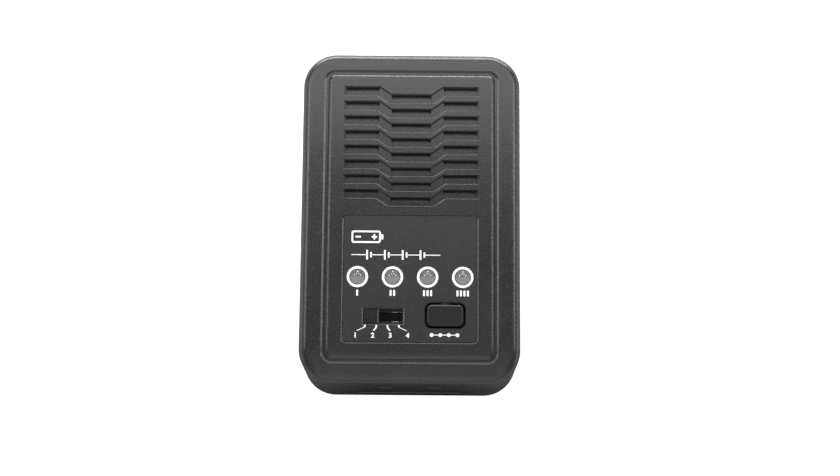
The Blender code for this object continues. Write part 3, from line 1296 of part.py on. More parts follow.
def make_power_device(charger, name, y, side, finish):
    """Model a tabbed power device that bolts flat to a heatsink, on three legs."""
    back = side * (HEATSINK_X - SEAT_GAP)
    front = back - side * TRANSISTOR_DEPTH
    tab = back - side * TRANSISTOR_TAB
    low = TRANSISTOR_LIFT
    section = [
        (front, low),
        (back, low),
        (back, low + TRANSISTOR_HEIGHT),
        (tab, low + TRANSISTOR_HEIGHT),
        (tab, low + TRANSISTOR_BODY),
        (front, low + TRANSISTOR_BODY),
    ]
    place = (0.0, y, ON_BOARD_Z)
    body = shaped(prism, section, -TRANSISTOR_WIDTH / 2, TRANSISTOR_WIDTH / 2, axis="Y")
    device = charger.piece(name, body, finish, place)
    legs = bmesh.new()
    for index in (-1, 0, 1):
        leg = rectangle(TRANSISTOR_LEG, TRANSISTOR_LEG, ((front + back) / 2, index * TRANSISTOR_LEG_PITCH))
        prism(legs, leg, 0.0, low + JOIN_DEPTH)
    charger.join(device, f"{name}_leg_tool", legs, place)


def make_power_stage(charger, finishes):
    """Model the two heatsinks, each with its power device."""
    stages = (
        ("primary_heatsink", PRIMARY_SINK_LENGTH, PRIMARY_SINK_HEIGHT, PRIMARY_SINK_FINS, TRANSFORMER_Y, 1),
        ("output_heatsink", OUTPUT_SINK_LENGTH, OUTPUT_SINK_HEIGHT, OUTPUT_SINK_FINS, OUTPUT_SINK_Y, -1),
    )
    for name, length, height, fins, y, side in stages:
        comb = shaped(prism, heatsink_outline(length, fins, side), 0.0, height)
        charger.piece(name, comb, finishes["aluminium"], (0.0, y, ON_BOARD_Z))
    make_power_device(charger, "primary_transistor", PRIMARY_TRANSISTOR_Y, 1, finishes["device"])
    make_power_device(charger, "output_rectifier", OUTPUT_SINK_Y, -1, finishes["device"])


def make_output_parts(charger, finishes):
    """Model the parts between the transformer and the battery sockets."""
    can = capacitor_profile(OUTPUT_CAP_DIAMETER, OUTPUT_CAP_HEIGHT)
    for index in range(OUTPUT_CAPS):
        x = OUTPUT_CAP_X + index * OUTPUT_CAP_PITCH
        place = (x, OUTPUT_FRONT_Y + OUTPUT_CAP_DIAMETER / 2, ON_BOARD_Z)
        shape = shaped(turned, can, steps=SMALL_ROUND_STEPS)
        charger.piece(f"output_capacitor_{index + 1}", shape, finishes["can"], place)
    ring = shaped(wound_ring, INDUCTOR_OUTER, INDUCTOR_INNER, INDUCTOR_HEIGHT)
    charger.piece("filter_inductor", ring, finishes["copper"],
                  (INDUCTOR_X, OUTPUT_FRONT_Y + INDUCTOR_OUTER, ON_BOARD_Z))
    radius, half = DISC_DIAMETER / 2, DISC_THICKNESS / 2
    profile = [(radius - DISC_EDGE, -half), (radius, DISC_EDGE - half), (radius, half - DISC_EDGE),
               (radius - DISC_EDGE, half)]
    disc = shaped(turned, profile, steps=SMALL_ROUND_STEPS, axis="Y")
    charger.piece("safety_capacitor", disc, finishes["blue"],
                  (DISC_X, COIL_FRONT_Y - COIL_FRONT_GAP - half, ON_BOARD_Z + radius))
    opto = shaped(prism, rectangle(OPTO_WIDTH, OPTO_LENGTH), 0.0, OPTO_HEIGHT)
    charger.piece("optocoupler", opto, finishes["device"],
                  (OPTO_X, COIL_FRONT_Y - COIL_FRONT_GAP - OPTO_LENGTH / 2, ON_BOARD_Z))


def make_link(charger, finishes):
    """Model the link socket on the main board and the ribbon up to the control board."""
    socket = shaped(prism, rectangle(LINK_WIDTH, LINK_LENGTH), 0.0, LINK_HEIGHT)
    charger.piece("link_socket", socket, finishes["ivory"], (LINK_X, LINK_Y, ON_BOARD_Z))
    ribbon_z = ON_BOARD_Z + LINK_HEIGHT + SEAT_GAP
    length = CONTROL_Z - SEAT_GAP - ribbon_z
    ribbon = shaped(prism, rectangle(RIBBON_THICKNESS, RIBBON_WIDTH), 0.0, length)
    charger.piece("link_ribbon", ribbon, finishes["ribbon"], (LINK_X, LINK_Y, ribbon_z))


def make_finishes():
    """Return every finish of the charger by name."""
    return {
        "case": material("case_plastic", (0.035, 0.036, 0.037), 0.55),
        "base": material("base_plastic", (0.030, 0.031, 0.032), 0.60),
        "label": material("label_sheet", (0.045, 0.046, 0.047), 0.45),
        "slider": material("slider_plastic", (0.012, 0.012, 0.013), 0.50),
        "button": material("button_plastic", (0.022, 0.022, 0.023), 0.48),
        "lamp": material("lamp_resin", (0.55, 0.56, 0.56), 0.25),
        "rubber": material("foot_rubber", (0.020, 0.020, 0.020), 0.85),
        "steel": material("screw_steel", (0.55, 0.55, 0.56), 0.35, 1.0),
        "brass": material("contact_brass", (0.80, 0.66, 0.36), 0.30, 1.0),
        "socket": material("socket_nylon", (0.040, 0.040, 0.042), 0.50),
        "inlet": material("inlet_nylon", (0.020, 0.020, 0.021), 0.45),
        "board": material("board_laminate", (0.030, 0.160, 0.060), 0.45),
        "device": material("device_epoxy", (0.020, 0.020, 0.022), 0.50),
        "ferrite": material("ferrite_core", (0.060, 0.058, 0.056), 0.55),
        "tape": material("coil_tape", (0.780, 0.600, 0.080), 0.45),
        "copper": material("copper_winding", (0.620, 0.260, 0.110), 0.35, 0.8),
        "aluminium": material("heatsink_aluminium", (0.720, 0.730, 0.740), 0.40, 1.0),
        "can": material("capacitor_sleeve", (0.030, 0.050, 0.140), 0.40),
        "glass": material("fuse_tube", (0.700, 0.720, 0.720), 0.20),
        "yellow": material("filter_case", (0.800, 0.620, 0.080), 0.45),
        "blue": material("disc_coating", (0.050, 0.180, 0.480), 0.45),
        "ivory": material("link_nylon", (0.780, 0.760, 0.680), 0.50),
        "ribbon": material("ribbon_sleeve", (0.550, 0.560, 0.570), 0.50),
    }


def main():
    """Clear the scene and build the charger."""
    for leftover in list(bpy.data.objects):
        bpy.data.objects.remove(leftover)
    charger = Assembly("balance_battery_charger")
    finishes = make_finishes()
    make_top_cover(charger, finishes["case"])
    make_base_cover(charger, finishes["base"])
    make_face_label(charger, finishes["label"])
    make_feet(charger, finishes["rubber"])
    make_screws(charger, finishes["steel"])
    make_leds(charger, finishes["lamp"])
    make_current_switch(charger, finishes)
    make_type_button(charger, finishes["button"])
    make_tact_switch(charger, finishes)
    make_control_board(charger, finishes)
    make_main_board(charger, finishes["board"])
    make_mains_inlet(charger, finishes)
    make_balance_socket(charger, finishes)
    make_output_socket(charger, finishes)
    make_fuse(charger, finishes["glass"])
    make_mains_parts(charger, finishes)
    make_transformer(charger, finishes)
    make_power_stage(charger, finishes)
    make_output_parts(charger, finishes)
    make_link(charger, finishes)


main()
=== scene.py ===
"""Balance battery charger: the look of each piece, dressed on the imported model.

Sizes are in millimetres in the classes and in metres in Blender. +Z is up, +Y points to the mains
inlet end of the case and -Y to its battery sockets. West and east are -X and +X, south and north
are -Y and +Y.
"""

import json
import logging
import math
from dataclasses import dataclass, field
from enum import Enum
from functools import partial
from typing import Callable, Sequence

import bmesh
import bpy
from mathutils import Matrix, Vector

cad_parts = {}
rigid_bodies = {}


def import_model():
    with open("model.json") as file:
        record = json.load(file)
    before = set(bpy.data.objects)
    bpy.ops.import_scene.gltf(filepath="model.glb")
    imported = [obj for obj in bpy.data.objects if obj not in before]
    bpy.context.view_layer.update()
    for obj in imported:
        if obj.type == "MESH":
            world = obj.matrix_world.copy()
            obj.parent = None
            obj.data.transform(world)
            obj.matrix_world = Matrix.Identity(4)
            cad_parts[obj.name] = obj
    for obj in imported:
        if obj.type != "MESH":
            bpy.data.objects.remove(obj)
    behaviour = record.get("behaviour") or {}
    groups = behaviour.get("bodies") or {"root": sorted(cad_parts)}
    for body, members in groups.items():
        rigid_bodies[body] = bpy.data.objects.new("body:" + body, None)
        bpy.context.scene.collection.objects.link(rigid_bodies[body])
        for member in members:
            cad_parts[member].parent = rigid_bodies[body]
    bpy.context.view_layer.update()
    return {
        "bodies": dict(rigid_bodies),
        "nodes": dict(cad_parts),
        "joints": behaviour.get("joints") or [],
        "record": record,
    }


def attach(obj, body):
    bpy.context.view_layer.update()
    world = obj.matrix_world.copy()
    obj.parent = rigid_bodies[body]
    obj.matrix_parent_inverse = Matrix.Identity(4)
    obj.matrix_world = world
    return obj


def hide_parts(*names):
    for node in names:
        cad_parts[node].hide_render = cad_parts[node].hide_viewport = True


LOG = logging.getLogger("charger")

MM = 0.001
SMOOTH_ANGLE = math.radians(32.0)
SMOOTH_WEIGHT = 60
MERGE_DISTANCE = 2e-6

# How far a cutting tool goes past what it cuts, and how far a rounded mouth stands past the face
CUT_REACH = 1.0
PROUD = 0.02
RIM_STEPS = 4

# Slack in the tests that pick corners, edges and faces
TOUCH = 0.01
PLANE_SLACK = 0.004
LEVEL_SLACK = 0.01
STRAIGHT = 0.99

# Sockets of the Mix node that take and give colours
MIX_FACTOR, MIX_FIRST, MIX_SECOND = 0, 6, 7
MIX_RESULT = 2

RIGHT = Vector((1.0, 0.0, 0.0))
REAR = Vector((0.0, 1.0, 0.0))
FRONT = -REAR
UP = Vector((0.0, 0.0, 1.0))
DOWN = -UP

# A Round is a radius and its count of facets
Triple = tuple[float, float, float]
Pair = tuple[float, float]
Round = tuple[float, int]
Test = Callable[[Vector, Vector], bool]
Material = bpy.types.Material
Tree = bpy.types.NodeTree
Node = bpy.types.Node
Socket = bpy.types.NodeSocket
Sockets = bpy.types.bpy_prop_collection
Inputs = dict[str | int, object]


class Body(Enum):
    """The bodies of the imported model."""

    CHARGER = "charger"
    SLIDER = "slider"
    BUTTON = "button"


class Slot(Enum):
    """The record's material slots."""

    CASE = "case_plastic"
    BASE = "base_plastic"
    LABEL = "label_sheet"
    SLIDER = "slider_plastic"
    BUTTON = "button_plastic"
    LAMP = "lamp_resin"
    RUBBER = "foot_rubber"
    SCREW = "screw_steel"
    SHELL = "switch_steel"
    BRASS = "contact_brass"
    SOCKET = "socket_nylon"
    INLET = "inlet_nylon"
    BOARD = "board_laminate"
    DEVICE = "device_epoxy"
    FERRITE = "ferrite_core"
    TAPE = "coil_tape"
    COPPER = "copper_winding"
    ALUMINIUM = "heatsink_aluminium"
    SLEEVE = "capacitor_sleeve"
    FUSE = "fuse_tube"
    FILTER = "filter_case"
    DISC = "disc_coating"
    LINK = "link_nylon"
    RIBBON = "ribbon_sleeve"


class Part(Enum):
    """What a selection picks."""

    CORNER = "VERT"
    EDGE = "EDGE"
    FACE = "FACE"

    def found(self, mesh: bmesh.types.BMesh) -> list[tuple]:
        """List the parts of a mesh.

        Args:
            mesh: A mesh in edit mode.

        Returns:
            Each part with its place, and its normal or the direction of the edge.
        """
        if self is Part.FACE:
            return [(face, face.calc_center_median(), face.normal) for face in mesh.faces]
        if self is Part.CORNER:
            return [(corner, corner.co, corner.normal) for corner in mesh.verts]
        ends = [(edge, *(corner.co for corner in edge.verts)) for edge in mesh.edges]
        return [(edge, (start + end) / 2, (end - start).normalized()) for edge, start, end in ends]


class Axis(Enum):
    """The way that a drum stands, as the turn that lays it there."""

    UPRIGHT = (0.0, 0.0, 0.0)
    ALONG_Y = (-math.pi / 2, 0.0, 0.0)

    def direction(self) -> Vector:
        """Return the unit vector along the drum."""
        return UP if self is Axis.UPRIGHT else REAR


class Pattern(Enum):
    """The kinds of fine relief."""

    GRAIN = "moulded_grain"
    BRUSHED = "brushed_lines"
    TURNS = "wound_turns"


def everything(place: Vector, way: Vector) -> bool:
    """Let every part pass."""
    return True


def along(axis: Vector, above: float = -math.inf) -> Test:
    """Return a test for edges that run along an axis, above a height where one is given."""
    return lambda place, way: abs(way.dot(axis)) > STRAIGHT and place.z > above - TOUCH


def in_plane(axis: Vector, level: float) -> Test:
    """Return a test for edges or corners in a plane across an axis."""
    return lambda place, way: abs(place.dot(axis) - level) < PLANE_SLACK and abs(way.dot(axis)) < LEVEL_SLACK


def facing(way: Vector) -> Test:
    """Return a test for faces that look one way."""
    return lambda place, normal: normal.dot(way) > STRAIGHT


def rim_round(radius: float, steps: int = RIM_STEPS, start: float = 0.0) -> list[Pair]:
    """Work out how a wall turns over into a face.

    Args:
        radius: Radius of the rounded rim.
        steps: Facets of the rounding.
        start: Angle of the wall from upright, in radians.

    Returns:
        The rise and the spread of each facet.
    """
    angles = [start + (math.pi / 2 - start) * step / steps for step in range(steps + 1)]
    turns = zip(angles, angles[1:])
    return [(radius * (math.sin(b) - math.sin(a)), radius * (math.cos(a) - math.cos(b))) for a, b in turns]


def total_rise(steps: Sequence[Pair]) -> float:
    """Return the height of a row of facets."""
    return sum(rise for rise, _ in steps)


def by(move: Triple) -> dict[str, Vector]:
    """Return the setting that moves what an operator makes."""
    return {"value": Vector(move) * MM}


class Stock:
    """One mesh on the bench, worked with Blender's own operators and sized in millimetres.

    A method that shapes the mesh returns the stock, so that the next step can follow it.
    """

    def __init__(self, obj: bpy.types.Object) -> None:
        """Take up an object."""
        self.obj = obj

    @classmethod
    def added(cls, name: str) -> "Stock":
        """Take the object just added, and put its place and size into its mesh.

        Args:
            name: Name of the object and its mesh.

        Returns:
            The stock.
        """
        obj = bpy.context.object
        obj.name = obj.data.name = name
        bpy.ops.object.transform_apply(location=True, rotation=True, scale=True)
        return cls(obj)

    @classmethod
    def block(cls, name: str, low: Triple, high: Triple) -> "Stock":
        """Add a cube between two corners.

        Args:
            name: Name of the new object.
            low: Lowest corner.
            high: Highest corner.

        Returns:
            The stock.
        """
        bpy.ops.object.select_all(action="DESELECT")
        centre, size = (Vector(low) + Vector(high)) * 0.5 * MM, (Vector(high) - Vector(low)) * MM
        bpy.ops.mesh.primitive_cube_add(size=1.0, location=centre, scale=size)
        return cls.added(name)

    @classmethod
    def slab(cls, name: str, place: Pair, size: Pair, low: float, high: float) -> "Stock":
        """Add a cube by the middle and size of its plan and by its two heights."""
        (x, y), half_x, half_y = place, size[0] / 2, size[1] / 2
        return cls.block(name, (x - half_x, y - half_y, low), (x + half_x, y + half_y, high))

    @classmethod
    def drum(cls, name: str, radius: float, foot: Triple, height: float, axis: Axis, sides: int,
             top_radius: float | None = None) -> "Stock":
        """Add a cylinder or a cone on the middle of its lower end.

        Args:
            name: Name of the new object.
            radius: Radius of the lower end.
            foot: Middle of the lower end.
            height: Length along the axis.
            axis: The way that it stands.
            sides: Count of its sides.
            top_radius: Radius of the upper end, where it differs.

        Returns:
            The stock.
        """
        bpy.ops.object.select_all(action="DESELECT")
        centre = (Vector(foot) + axis.direction() * height / 2) * MM
        top = radius if top_radius is None else top_radius
        bpy.ops.mesh.primitive_cone_add(vertices=sides, radius1=radius * MM, radius2=top * MM,
                                        depth=height * MM, location=centre, rotation=axis.value)
        return cls.added(name)

    def choose(self) -> None:
        """Select this object alone and make it the active one."""
        bpy.ops.object.select_all(action="DESELECT")
        self.obj.select_set(True)
        bpy.context.view_layer.objects.active = self.obj

    def edit(self, part: Part, test: Test, *steps: Callable[[], object]) -> "Stock":
        """Select what passes a test in edit mode, and call one operator after another on it.

        Args:
            part: Corners, edges or faces.
            test: Takes a place in millimetres, and a normal or the direction of an edge.
            steps: Operators with their settings.

        Returns:
            The stock.
        """
        self.choose()
        bpy.ops.object.mode_set(mode="EDIT")
        bpy.ops.mesh.select_all(action="DESELECT")
        bpy.ops.mesh.select_mode(type=part.value)
        mesh = bmesh.from_edit_mesh(self.obj.data)
        for item, place, way in part.found(mesh):
            item.select_set(test(place / MM, way))
        mesh.select_flush_mode()
        bmesh.update_edit_mesh(self.obj.data)
        for step in steps:
            step()
        bpy.ops.object.mode_set(mode="OBJECT")
        return self

    def round_edges(self, test: Test, radius: float, segments: int) -> "Stock":
        """Bevel the edges that pass a test."""
        bevel = partial(bpy.ops.mesh.bevel, offset=radius * MM, segments=segments, affect="EDGES")
        return self.edit(Part.EDGE, test, bevel)

    def draw_out(self, test: Test, *moves: Triple) -> "Stock":
        """Extrude the faces that pass a test by one move after another."""
        extrude = bpy.ops.mesh.extrude_region_move
        return self.edit(
            Part.FACE, test, *(partial(extrude, TRANSFORM_OT_translate=by(move)) for move in moves))

    def inset(self, test: Test, width: float, sink: float) -> "Stock":
        """Inset the faces that pass a test, and sink their middle below the border that is left."""
        inset = bpy.ops.mesh.inset
        return self.edit(Part.FACE, test, partial(inset, thickness=width * MM, depth=0.0),
                         partial(inset, thickness=sink * MM, depth=-sink * MM))

    def shift(self, test: Test, move: Triple, **falloff: object) -> "Stock":
        """Move the corners that pass a test."""
        return self.edit(Part.CORNER, test, partial(bpy.ops.transform.translate, **by(move), **falloff))

    def sag(self, test: Test, move: Triple, reach: float) -> "Stock":
        """Move the corners that pass a test, and let those within reach follow."""
        return self.shift(test, move, use_proportional_edit=True, proportional_edit_falloff="SHARP",
                          proportional_size=reach * MM)

    def split(self, place: Triple, normal: Vector) -> "Stock":
        """Cut new edges round the mesh on a plane."""
        bisect = partial(bpy.ops.mesh.bisect, plane_co=Vector(place) * MM, plane_no=normal)
        return self.edit(Part.FACE, everything, bisect)

    def flare(self, way: Vector, steps: Sequence[Pair], over: float = CUT_REACH) -> "Stock":
        """Open one end of a cutting tool into a mouth, and carry it on past the face.

        Args:
            way: The way that the end looks.
            steps: Rise and spread of each facet of the mouth.
            over: How far the tool goes on beyond the mouth, or nothing for a lid on the last facet.

        Returns:
            The stock.
        """
        mesh = bpy.ops.mesh
        work = [partial(mesh.delete, type="FACE"), partial(mesh.select_mode, type="EDGE"),
                partial(mesh.select_non_manifold, extend=False, use_wire=False, use_boundary=True,
                        use_multi_face=False, use_non_contiguous=False, use_verts=False)]
        for rise, spread in [*steps, *([(over, 0.0)] if over else [])]:
            work.append(partial(mesh.extrude_edges_move, TRANSFORM_OT_translate=by(way * rise)))
            if spread:
                work.append(partial(bpy.ops.transform.shrink_fatten, value=spread * MM, use_even_offset=True))
        work += [mesh.edge_face_add, partial(mesh.select_all, action="SELECT"),
                 partial(mesh.normals_make_consistent, inside=False)]
        return self.edit(Part.FACE, facing(way), *work)

    def apply(self, kind: str, **values: object) -> "Stock":
        """Add a modifier and apply it at once.

        Args:
            kind: Blender's name for the modifier type.
            values: Settings of the modifier.

        Returns:
            The stock.
        """
        self.choose()
        modifier = self.obj.modifiers.new(kind.lower(), kind)
        for key, value in values.items():
            setattr(modifier, key, value)
        bpy.ops.object.modifier_apply(modifier=modifier.name)
        return self

    def repeat(self, count: int, step: Triple) -> "Stock":
        """Copy the mesh in a row."""
        return self.apply("ARRAY", count=count, use_relative_offset=False, use_constant_offset=True,
                          constant_offset_displace=Vector(step) * MM)

    def at_four_corners(self, x: float, y: float) -> "Stock":
        """Copy a mesh that stands at -x, -y to the other three corners."""
        return self.repeat(2, (2 * x, 0.0, 0.0)).repeat(2, (0.0, 2 * y, 0.0))

    def cut(self, *tools: "Stock") -> "Stock":
        """Take the tools out of this stock."""
        return self.combine("DIFFERENCE", tools)

    def join(self, *tools: "Stock") -> "Stock":
        """Unite the tools with this stock."""
        return self.combine("UNION", tools)

    def combine(self, operation: str, tools: Sequence["Stock"]) -> "Stock":
        """Apply a boolean with each tool in turn and drop the tool.

        Args:
            operation: Blender's name for the boolean.
            tools: What the stock is combined with.

        Returns:
            The stock.
        """
        for tool in tools:
            self.apply("BOOLEAN", operation=operation, solver="EXACT", object=tool.obj)
            bpy.data.objects.remove(tool.obj)
        return self

    def gather(self, *others: "Stock") -> "Stock":
        """Put other meshes that don't touch this one into its object.

        Args:
            others: The meshes.

        Returns:
            The stock.
        """
        self.choose()
        for other in others:
            other.obj.select_set(True)
        bpy.ops.object.join()
        return self

    def copy(self, name: str, move: Triple) -> "Stock":
        """Duplicate the stock with a mesh of its own.

        Args:
            name: Name of the copy.
            move: How far it moves from the original.

        Returns:
            The copy.
        """
        self.choose()
        bpy.ops.object.duplicate_move(TRANSFORM_OT_translate=by(move))
        return Stock.added(name)

    def hand_in(self, finish: Material, slot: Slot, *nodes: str, body: Body = Body.CHARGER) -> None:
        """Smooth and paint the finished piece and set it on its body.

        Args:
            finish: Material of the piece.
            slot: Material slot of the record; not used.
            nodes: CAD nodes that the piece stands for.
            body: Body that carries it.
        """
        self.edit(Part.CORNER, everything, partial(bpy.ops.mesh.remove_doubles, threshold=MERGE_DISTANCE))
        bpy.ops.object.shade_smooth_by_angle(angle=SMOOTH_ANGLE)
        self.apply("WEIGHTED_NORMAL", keep_sharp=True, weight=SMOOTH_WEIGHT)
        self.obj.data.materials.clear()
        self.obj.data.materials.append(finish)
        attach(self.obj, body.value)
        if nodes:
            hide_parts(*nodes)
        LOG.info("%s: %d faces on %s", self.obj.name, len(self.obj.data.polygons), body.value)

    def touch_up(self, finish: Material, test: Test) -> None:
        """Give the faces that pass a test a finish of their own.

        Args:
            finish: The second material of the piece.
            test: Takes the middle of a face in millimetres, and its normal.
        """
        self.obj.data.materials.append(finish)
        for face in self.obj.data.polygons:
            face.material_index = int(test(face.center / MM, face.normal))


@dataclass(frozen=True)
class Rod:
    """An upright round, by its radius, its two ends and its count of sides."""

    radius: float
    low: float
    high: float
    sides: int
    top_radius: float | None = None

    def at(self, name: str, place: Pair) -> Stock:
        """Make the round at a place."""
        foot, height = (*place, self.low), self.high - self.low
        return Stock.drum(name, self.radius, foot, height, Axis.UPRIGHT, self.sides, self.top_radius)

    def at_corners(self, name: str, place: Pair) -> Stock:
        """Make the round in all four quarters of the case."""
        return self.at(name, (-place[0], -place[1])).at_four_corners(*place)

    def bore(self, radius: float, end: float, sides: int) -> "Rod":
        """Return a bore that enters the round from below."""
        return Rod(radius, self.low - CUT_REACH, end, sides)


class NodeBench:
    """Sets nodes into one tree and links them."""

    def __init__(self, tree: Tree) -> None:
        """Take up a node tree."""
        self.tree = tree

    def feed(self, node: Node, inputs: Inputs) -> None:
        """Fill the sockets of a node.

        Args:
            node: The node.
            inputs: Values, or sockets to link from, by the name or number of the socket.
        """
        for key, value in inputs.items():
            if isinstance(value, Socket):
                self.tree.links.new(value, node.inputs[key])
            else:
                node.inputs[key].default_value = value

    def add(self, kind: str, inputs: Inputs | None = None, **values: object) -> Node:
        """Add a node.

        Args:
            kind: Blender's name for the node type.
            inputs: What its sockets are fed.
            values: Settings of the node itself.

        Returns:
            The new node.
        """
        node = self.tree.nodes.new(kind)
        for key, value in values.items():
            setattr(node, key, value)
        self.feed(node, inputs or {})
        return node

    def math(self, operation: str, first: object, second: object) -> Socket:
        """Add a math node on two values or sockets, and return its output."""
        return self.add("ShaderNodeMath", {0: first, 1: second}, operation=operation).outputs[0]

    def noise(self, vector: Socket, scale: Socket, detail: float, roughness: float) -> Socket:
        """Add a noise texture, and return its output."""
        inputs = {"Vector": vector, "Scale": scale, "Detail": detail, "Roughness": roughness}
        return self.add("ShaderNodeTexNoise", inputs).outputs[0]

    def ramp(self, value: Socket, low: float, high: float, first: object = 0.0, last: object = 1.0) -> Socket:
        """Add a node that maps one range to another, and return its output."""
        inputs = {"Value": value, "From Min": low, "From Max": high, "To Min": first, "To Max": last}
        return self.add("ShaderNodeMapRange", inputs).outputs[0]

    def scaled(self, colour: Socket, level: Socket) -> Socket:
        """Add a node that scales a colour, and return its output."""
        return self.add("ShaderNodeVectorMath", {0: colour, "Scale": level}, operation="SCALE").outputs[0]


@dataclass
class EffectGroups:
    """Builds the node groups that the finishes share, each of them once."""

    grain_roughness: float = 0.62
    pit_scale: float = 0.55
    pit_share: float = 0.35
    grain_range: Pair = (0.45, 0.95)
    line_stretch: Triple = (0.04, 1.0, 1.0)
    line_roughness: float = 0.7
    line_range: Pair = (0.35, 0.7)
    turn_waver: float = 0.4
    patch_roughness: float = 0.55
    patch_range: Pair = (0.3, 0.7)
    patch_levels: Pair = (0.32, 0.68)
    speckle_share: float = 0.55
    patch_share: float = 0.45
    relief: dict[Pattern, Tree] = field(init=False)
    tone: Tree = field(init=False)

    def __post_init__(self) -> None:
        """Build the groups."""
        makers = (self.moulded_grain, self.brushed_lines, self.wound_turns)
        self.relief = {pattern: maker(pattern) for pattern, maker in zip(Pattern, makers)}
        self.tone = self.tone_drift()

    @staticmethod
    def started(name: str, inputs: dict[str, str],
                outputs: dict[str, str]) -> tuple[NodeBench, Sockets, Node]:
        """Start a group with its sockets.

        Args:
            name: Name of the group.
            inputs: Kinds of the inputs by name.
            outputs: Kinds of the outputs by name.

        Returns:
            The bench, what the group is given by name, and the node that takes its outputs.
        """
        tree = bpy.data.node_groups.new(name, "ShaderNodeTree")
        for way, sockets in (("INPUT", inputs), ("OUTPUT", outputs)):
            for label, kind in sockets.items():
                tree.interface.new_socket(label, in_out=way, socket_type=f"NodeSocket{kind}")
        bench = NodeBench(tree)
        return bench, bench.add("NodeGroupInput").outputs, bench.add("NodeGroupOutput")

    def relief_group(self, pattern: Pattern) -> tuple[NodeBench, Sockets, Node]:
        """Start a group that gives the relief of a pattern."""
        return self.started(pattern.value, {"Vector": "Vector", "Per Metre": "Float"},
                            {"Height": "Float", "Mask": "Float"})

    def moulded_grain(self, pattern: Pattern) -> Tree:
        """Build the spark texture of a moulding.

        Args:
            pattern: The pattern that it stands for.

        Returns:
            The group.
        """
        bench, given, sink = self.relief_group(pattern)
        fine = bench.noise(given["Vector"], given["Per Metre"], detail=3.0, roughness=self.grain_roughness)
        scale = bench.math("MULTIPLY", given["Per Metre"], self.pit_scale)
        cells = bench.add("ShaderNodeTexVoronoi", {"Vector": given["Vector"], "Scale": scale})
        pits = bench.math("MULTIPLY", cells.outputs["Distance"], self.pit_share)
        height = bench.math("ADD", fine, pits)
        bench.feed(sink, {"Height": height, "Mask": bench.ramp(height, *self.grain_range)})
        return bench.tree

    def brushed_lines(self, pattern: Pattern) -> Tree:
        """Build fine lines along X, as on rolled or turned metal.

        Args:
            pattern: The pattern that it stands for.

        Returns:
            The group.
        """
        bench, given, sink = self.relief_group(pattern)
        drawn = bench.add("ShaderNodeMapping", {"Vector": given["Vector"], "Scale": self.line_stretch})
        lines = bench.noise(drawn.outputs[0], given["Per Metre"], detail=4.0, roughness=self.line_roughness)
        bench.feed(sink, {"Height": lines, "Mask": bench.ramp(lines, *self.line_range)})
        return bench.tree

    def wound_turns(self, pattern: Pattern) -> Tree:
        """Build even turns or cores side by side along Y.

        Args:
            pattern: The pattern that it stands for.

        Returns:
            The group.
        """
        bench, given, sink = self.relief_group(pattern)
        inputs = {"Vector": given["Vector"], "Scale": given["Per Metre"],
                  "Distortion": self.turn_waver, "Detail": 1.0}
        turns = bench.add(
            "ShaderNodeTexWave", inputs, wave_type="BANDS", bands_direction="Y", wave_profile="SIN")
        bench.feed(sink, {"Height": turns.outputs["Fac"], "Mask": turns.outputs["Fac"]})
        return bench.tree

    def tone_drift(self) -> Tree:
        """Build the group that lets colour and roughness drift over a surface.

        Returns:
            The group.
        """
        bench, given, sink = self.started(
            "tone_drift",
            {"Vector": "Vector", "Relief": "Float", "Per Metre": "Float", "Deep": "Color", "Light": "Color",
             "Polished": "Float", "Dull": "Float"},
            {"Color": "Color", "Roughness": "Float"})
        drift = bench.noise(given["Vector"], given["Per Metre"], detail=4.0, roughness=self.patch_roughness)
        slow = bench.ramp(drift, *self.patch_range, *self.patch_levels)
        speckle = bench.math("MULTIPLY", given["Relief"], self.speckle_share)
        share = bench.math("ADD", speckle, bench.math("MULTIPLY", slow, self.patch_share))
        tones = {MIX_FACTOR: share, MIX_FIRST: given["Deep"], MIX_SECOND: given["Light"]}
        colour = bench.add("ShaderNodeMix", tones, data_type="RGBA")
        rough = bench.ramp(share, 0.0, 1.0, given["Polished"], given["Dull"])
        bench.feed(sink, {"Color": colour.outputs[MIX_RESULT], "Roughness": rough})
        return bench.tree


def grey(level: float) -> Triple:
    """Return a neutral tone."""
    return (level, level, level)


@dataclass(frozen=True)
class Relief:
    """The fine relief of a finish."""

    per_metre: float = 3600.0
    depth: float = 0.02
    strength: float = 0.3
    pattern: Pattern = Pattern.GRAIN


SPARK = Relief(3000.0, 0.045, 0.6)
ROLLED = Relief(9000.0, 0.006, pattern=Pattern.BRUSHED)


@dataclass(frozen=True)
class Finish:
    """A surface: two tones, two roughnesses and a fine relief."""

    name: str
    deep: Triple
    light: Triple
    roughness: Pair
    relief: Relief = Relief()
    metallic: float = 0.0
    specular: float = 0.5
    coat: float = 0.0
    patches_per_metre: float = 60.0

    def make(self, groups: EffectGroups) -> Material:
        """Build the material.

        Args:
            groups: The shared effects.

        Returns:
            The material.
        """
        made = bpy.data.materials.new(self.name)
        made.use_nodes = True
        bench = NodeBench(made.node_tree)
        place = bench.add("ShaderNodeTexCoord").outputs["Object"]
        relief = bench.add("ShaderNodeGroup", node_tree=groups.relief[self.relief.pattern])
        bench.feed(relief, {"Vector": place, "Per Metre": self.relief.per_metre})
        tone = bench.add("ShaderNodeGroup", node_tree=groups.tone)
        bench.feed(tone, {
            "Vector": place, "Relief": relief.outputs["Mask"], "Per Metre": self.patches_per_metre,
            "Deep": (*self.deep, 1.0), "Light": (*self.light, 1.0),
            "Polished": self.roughness[0], "Dull": self.roughness[1]})
        bump = bench.add("ShaderNodeBump", {
            "Height": relief.outputs["Height"], "Strength": self.relief.strength,
            "Distance": self.relief.depth * MM})
        bench.feed(made.node_tree.nodes["Principled BSDF"], {
            "Metallic": self.metallic, "Specular IOR Level": self.specular, "Coat Weight": self.coat,
            "Base Color": self.colour(bench, place, tone.outputs["Color"]),
            "Roughness": tone.outputs["Roughness"], "Normal": bump.outputs["Normal"]})
        return made

    def colour(self, bench: NodeBench, place: Socket, tone: Socket) -> Socket:
        """Return the colour as the tone gives it."""
        return tone


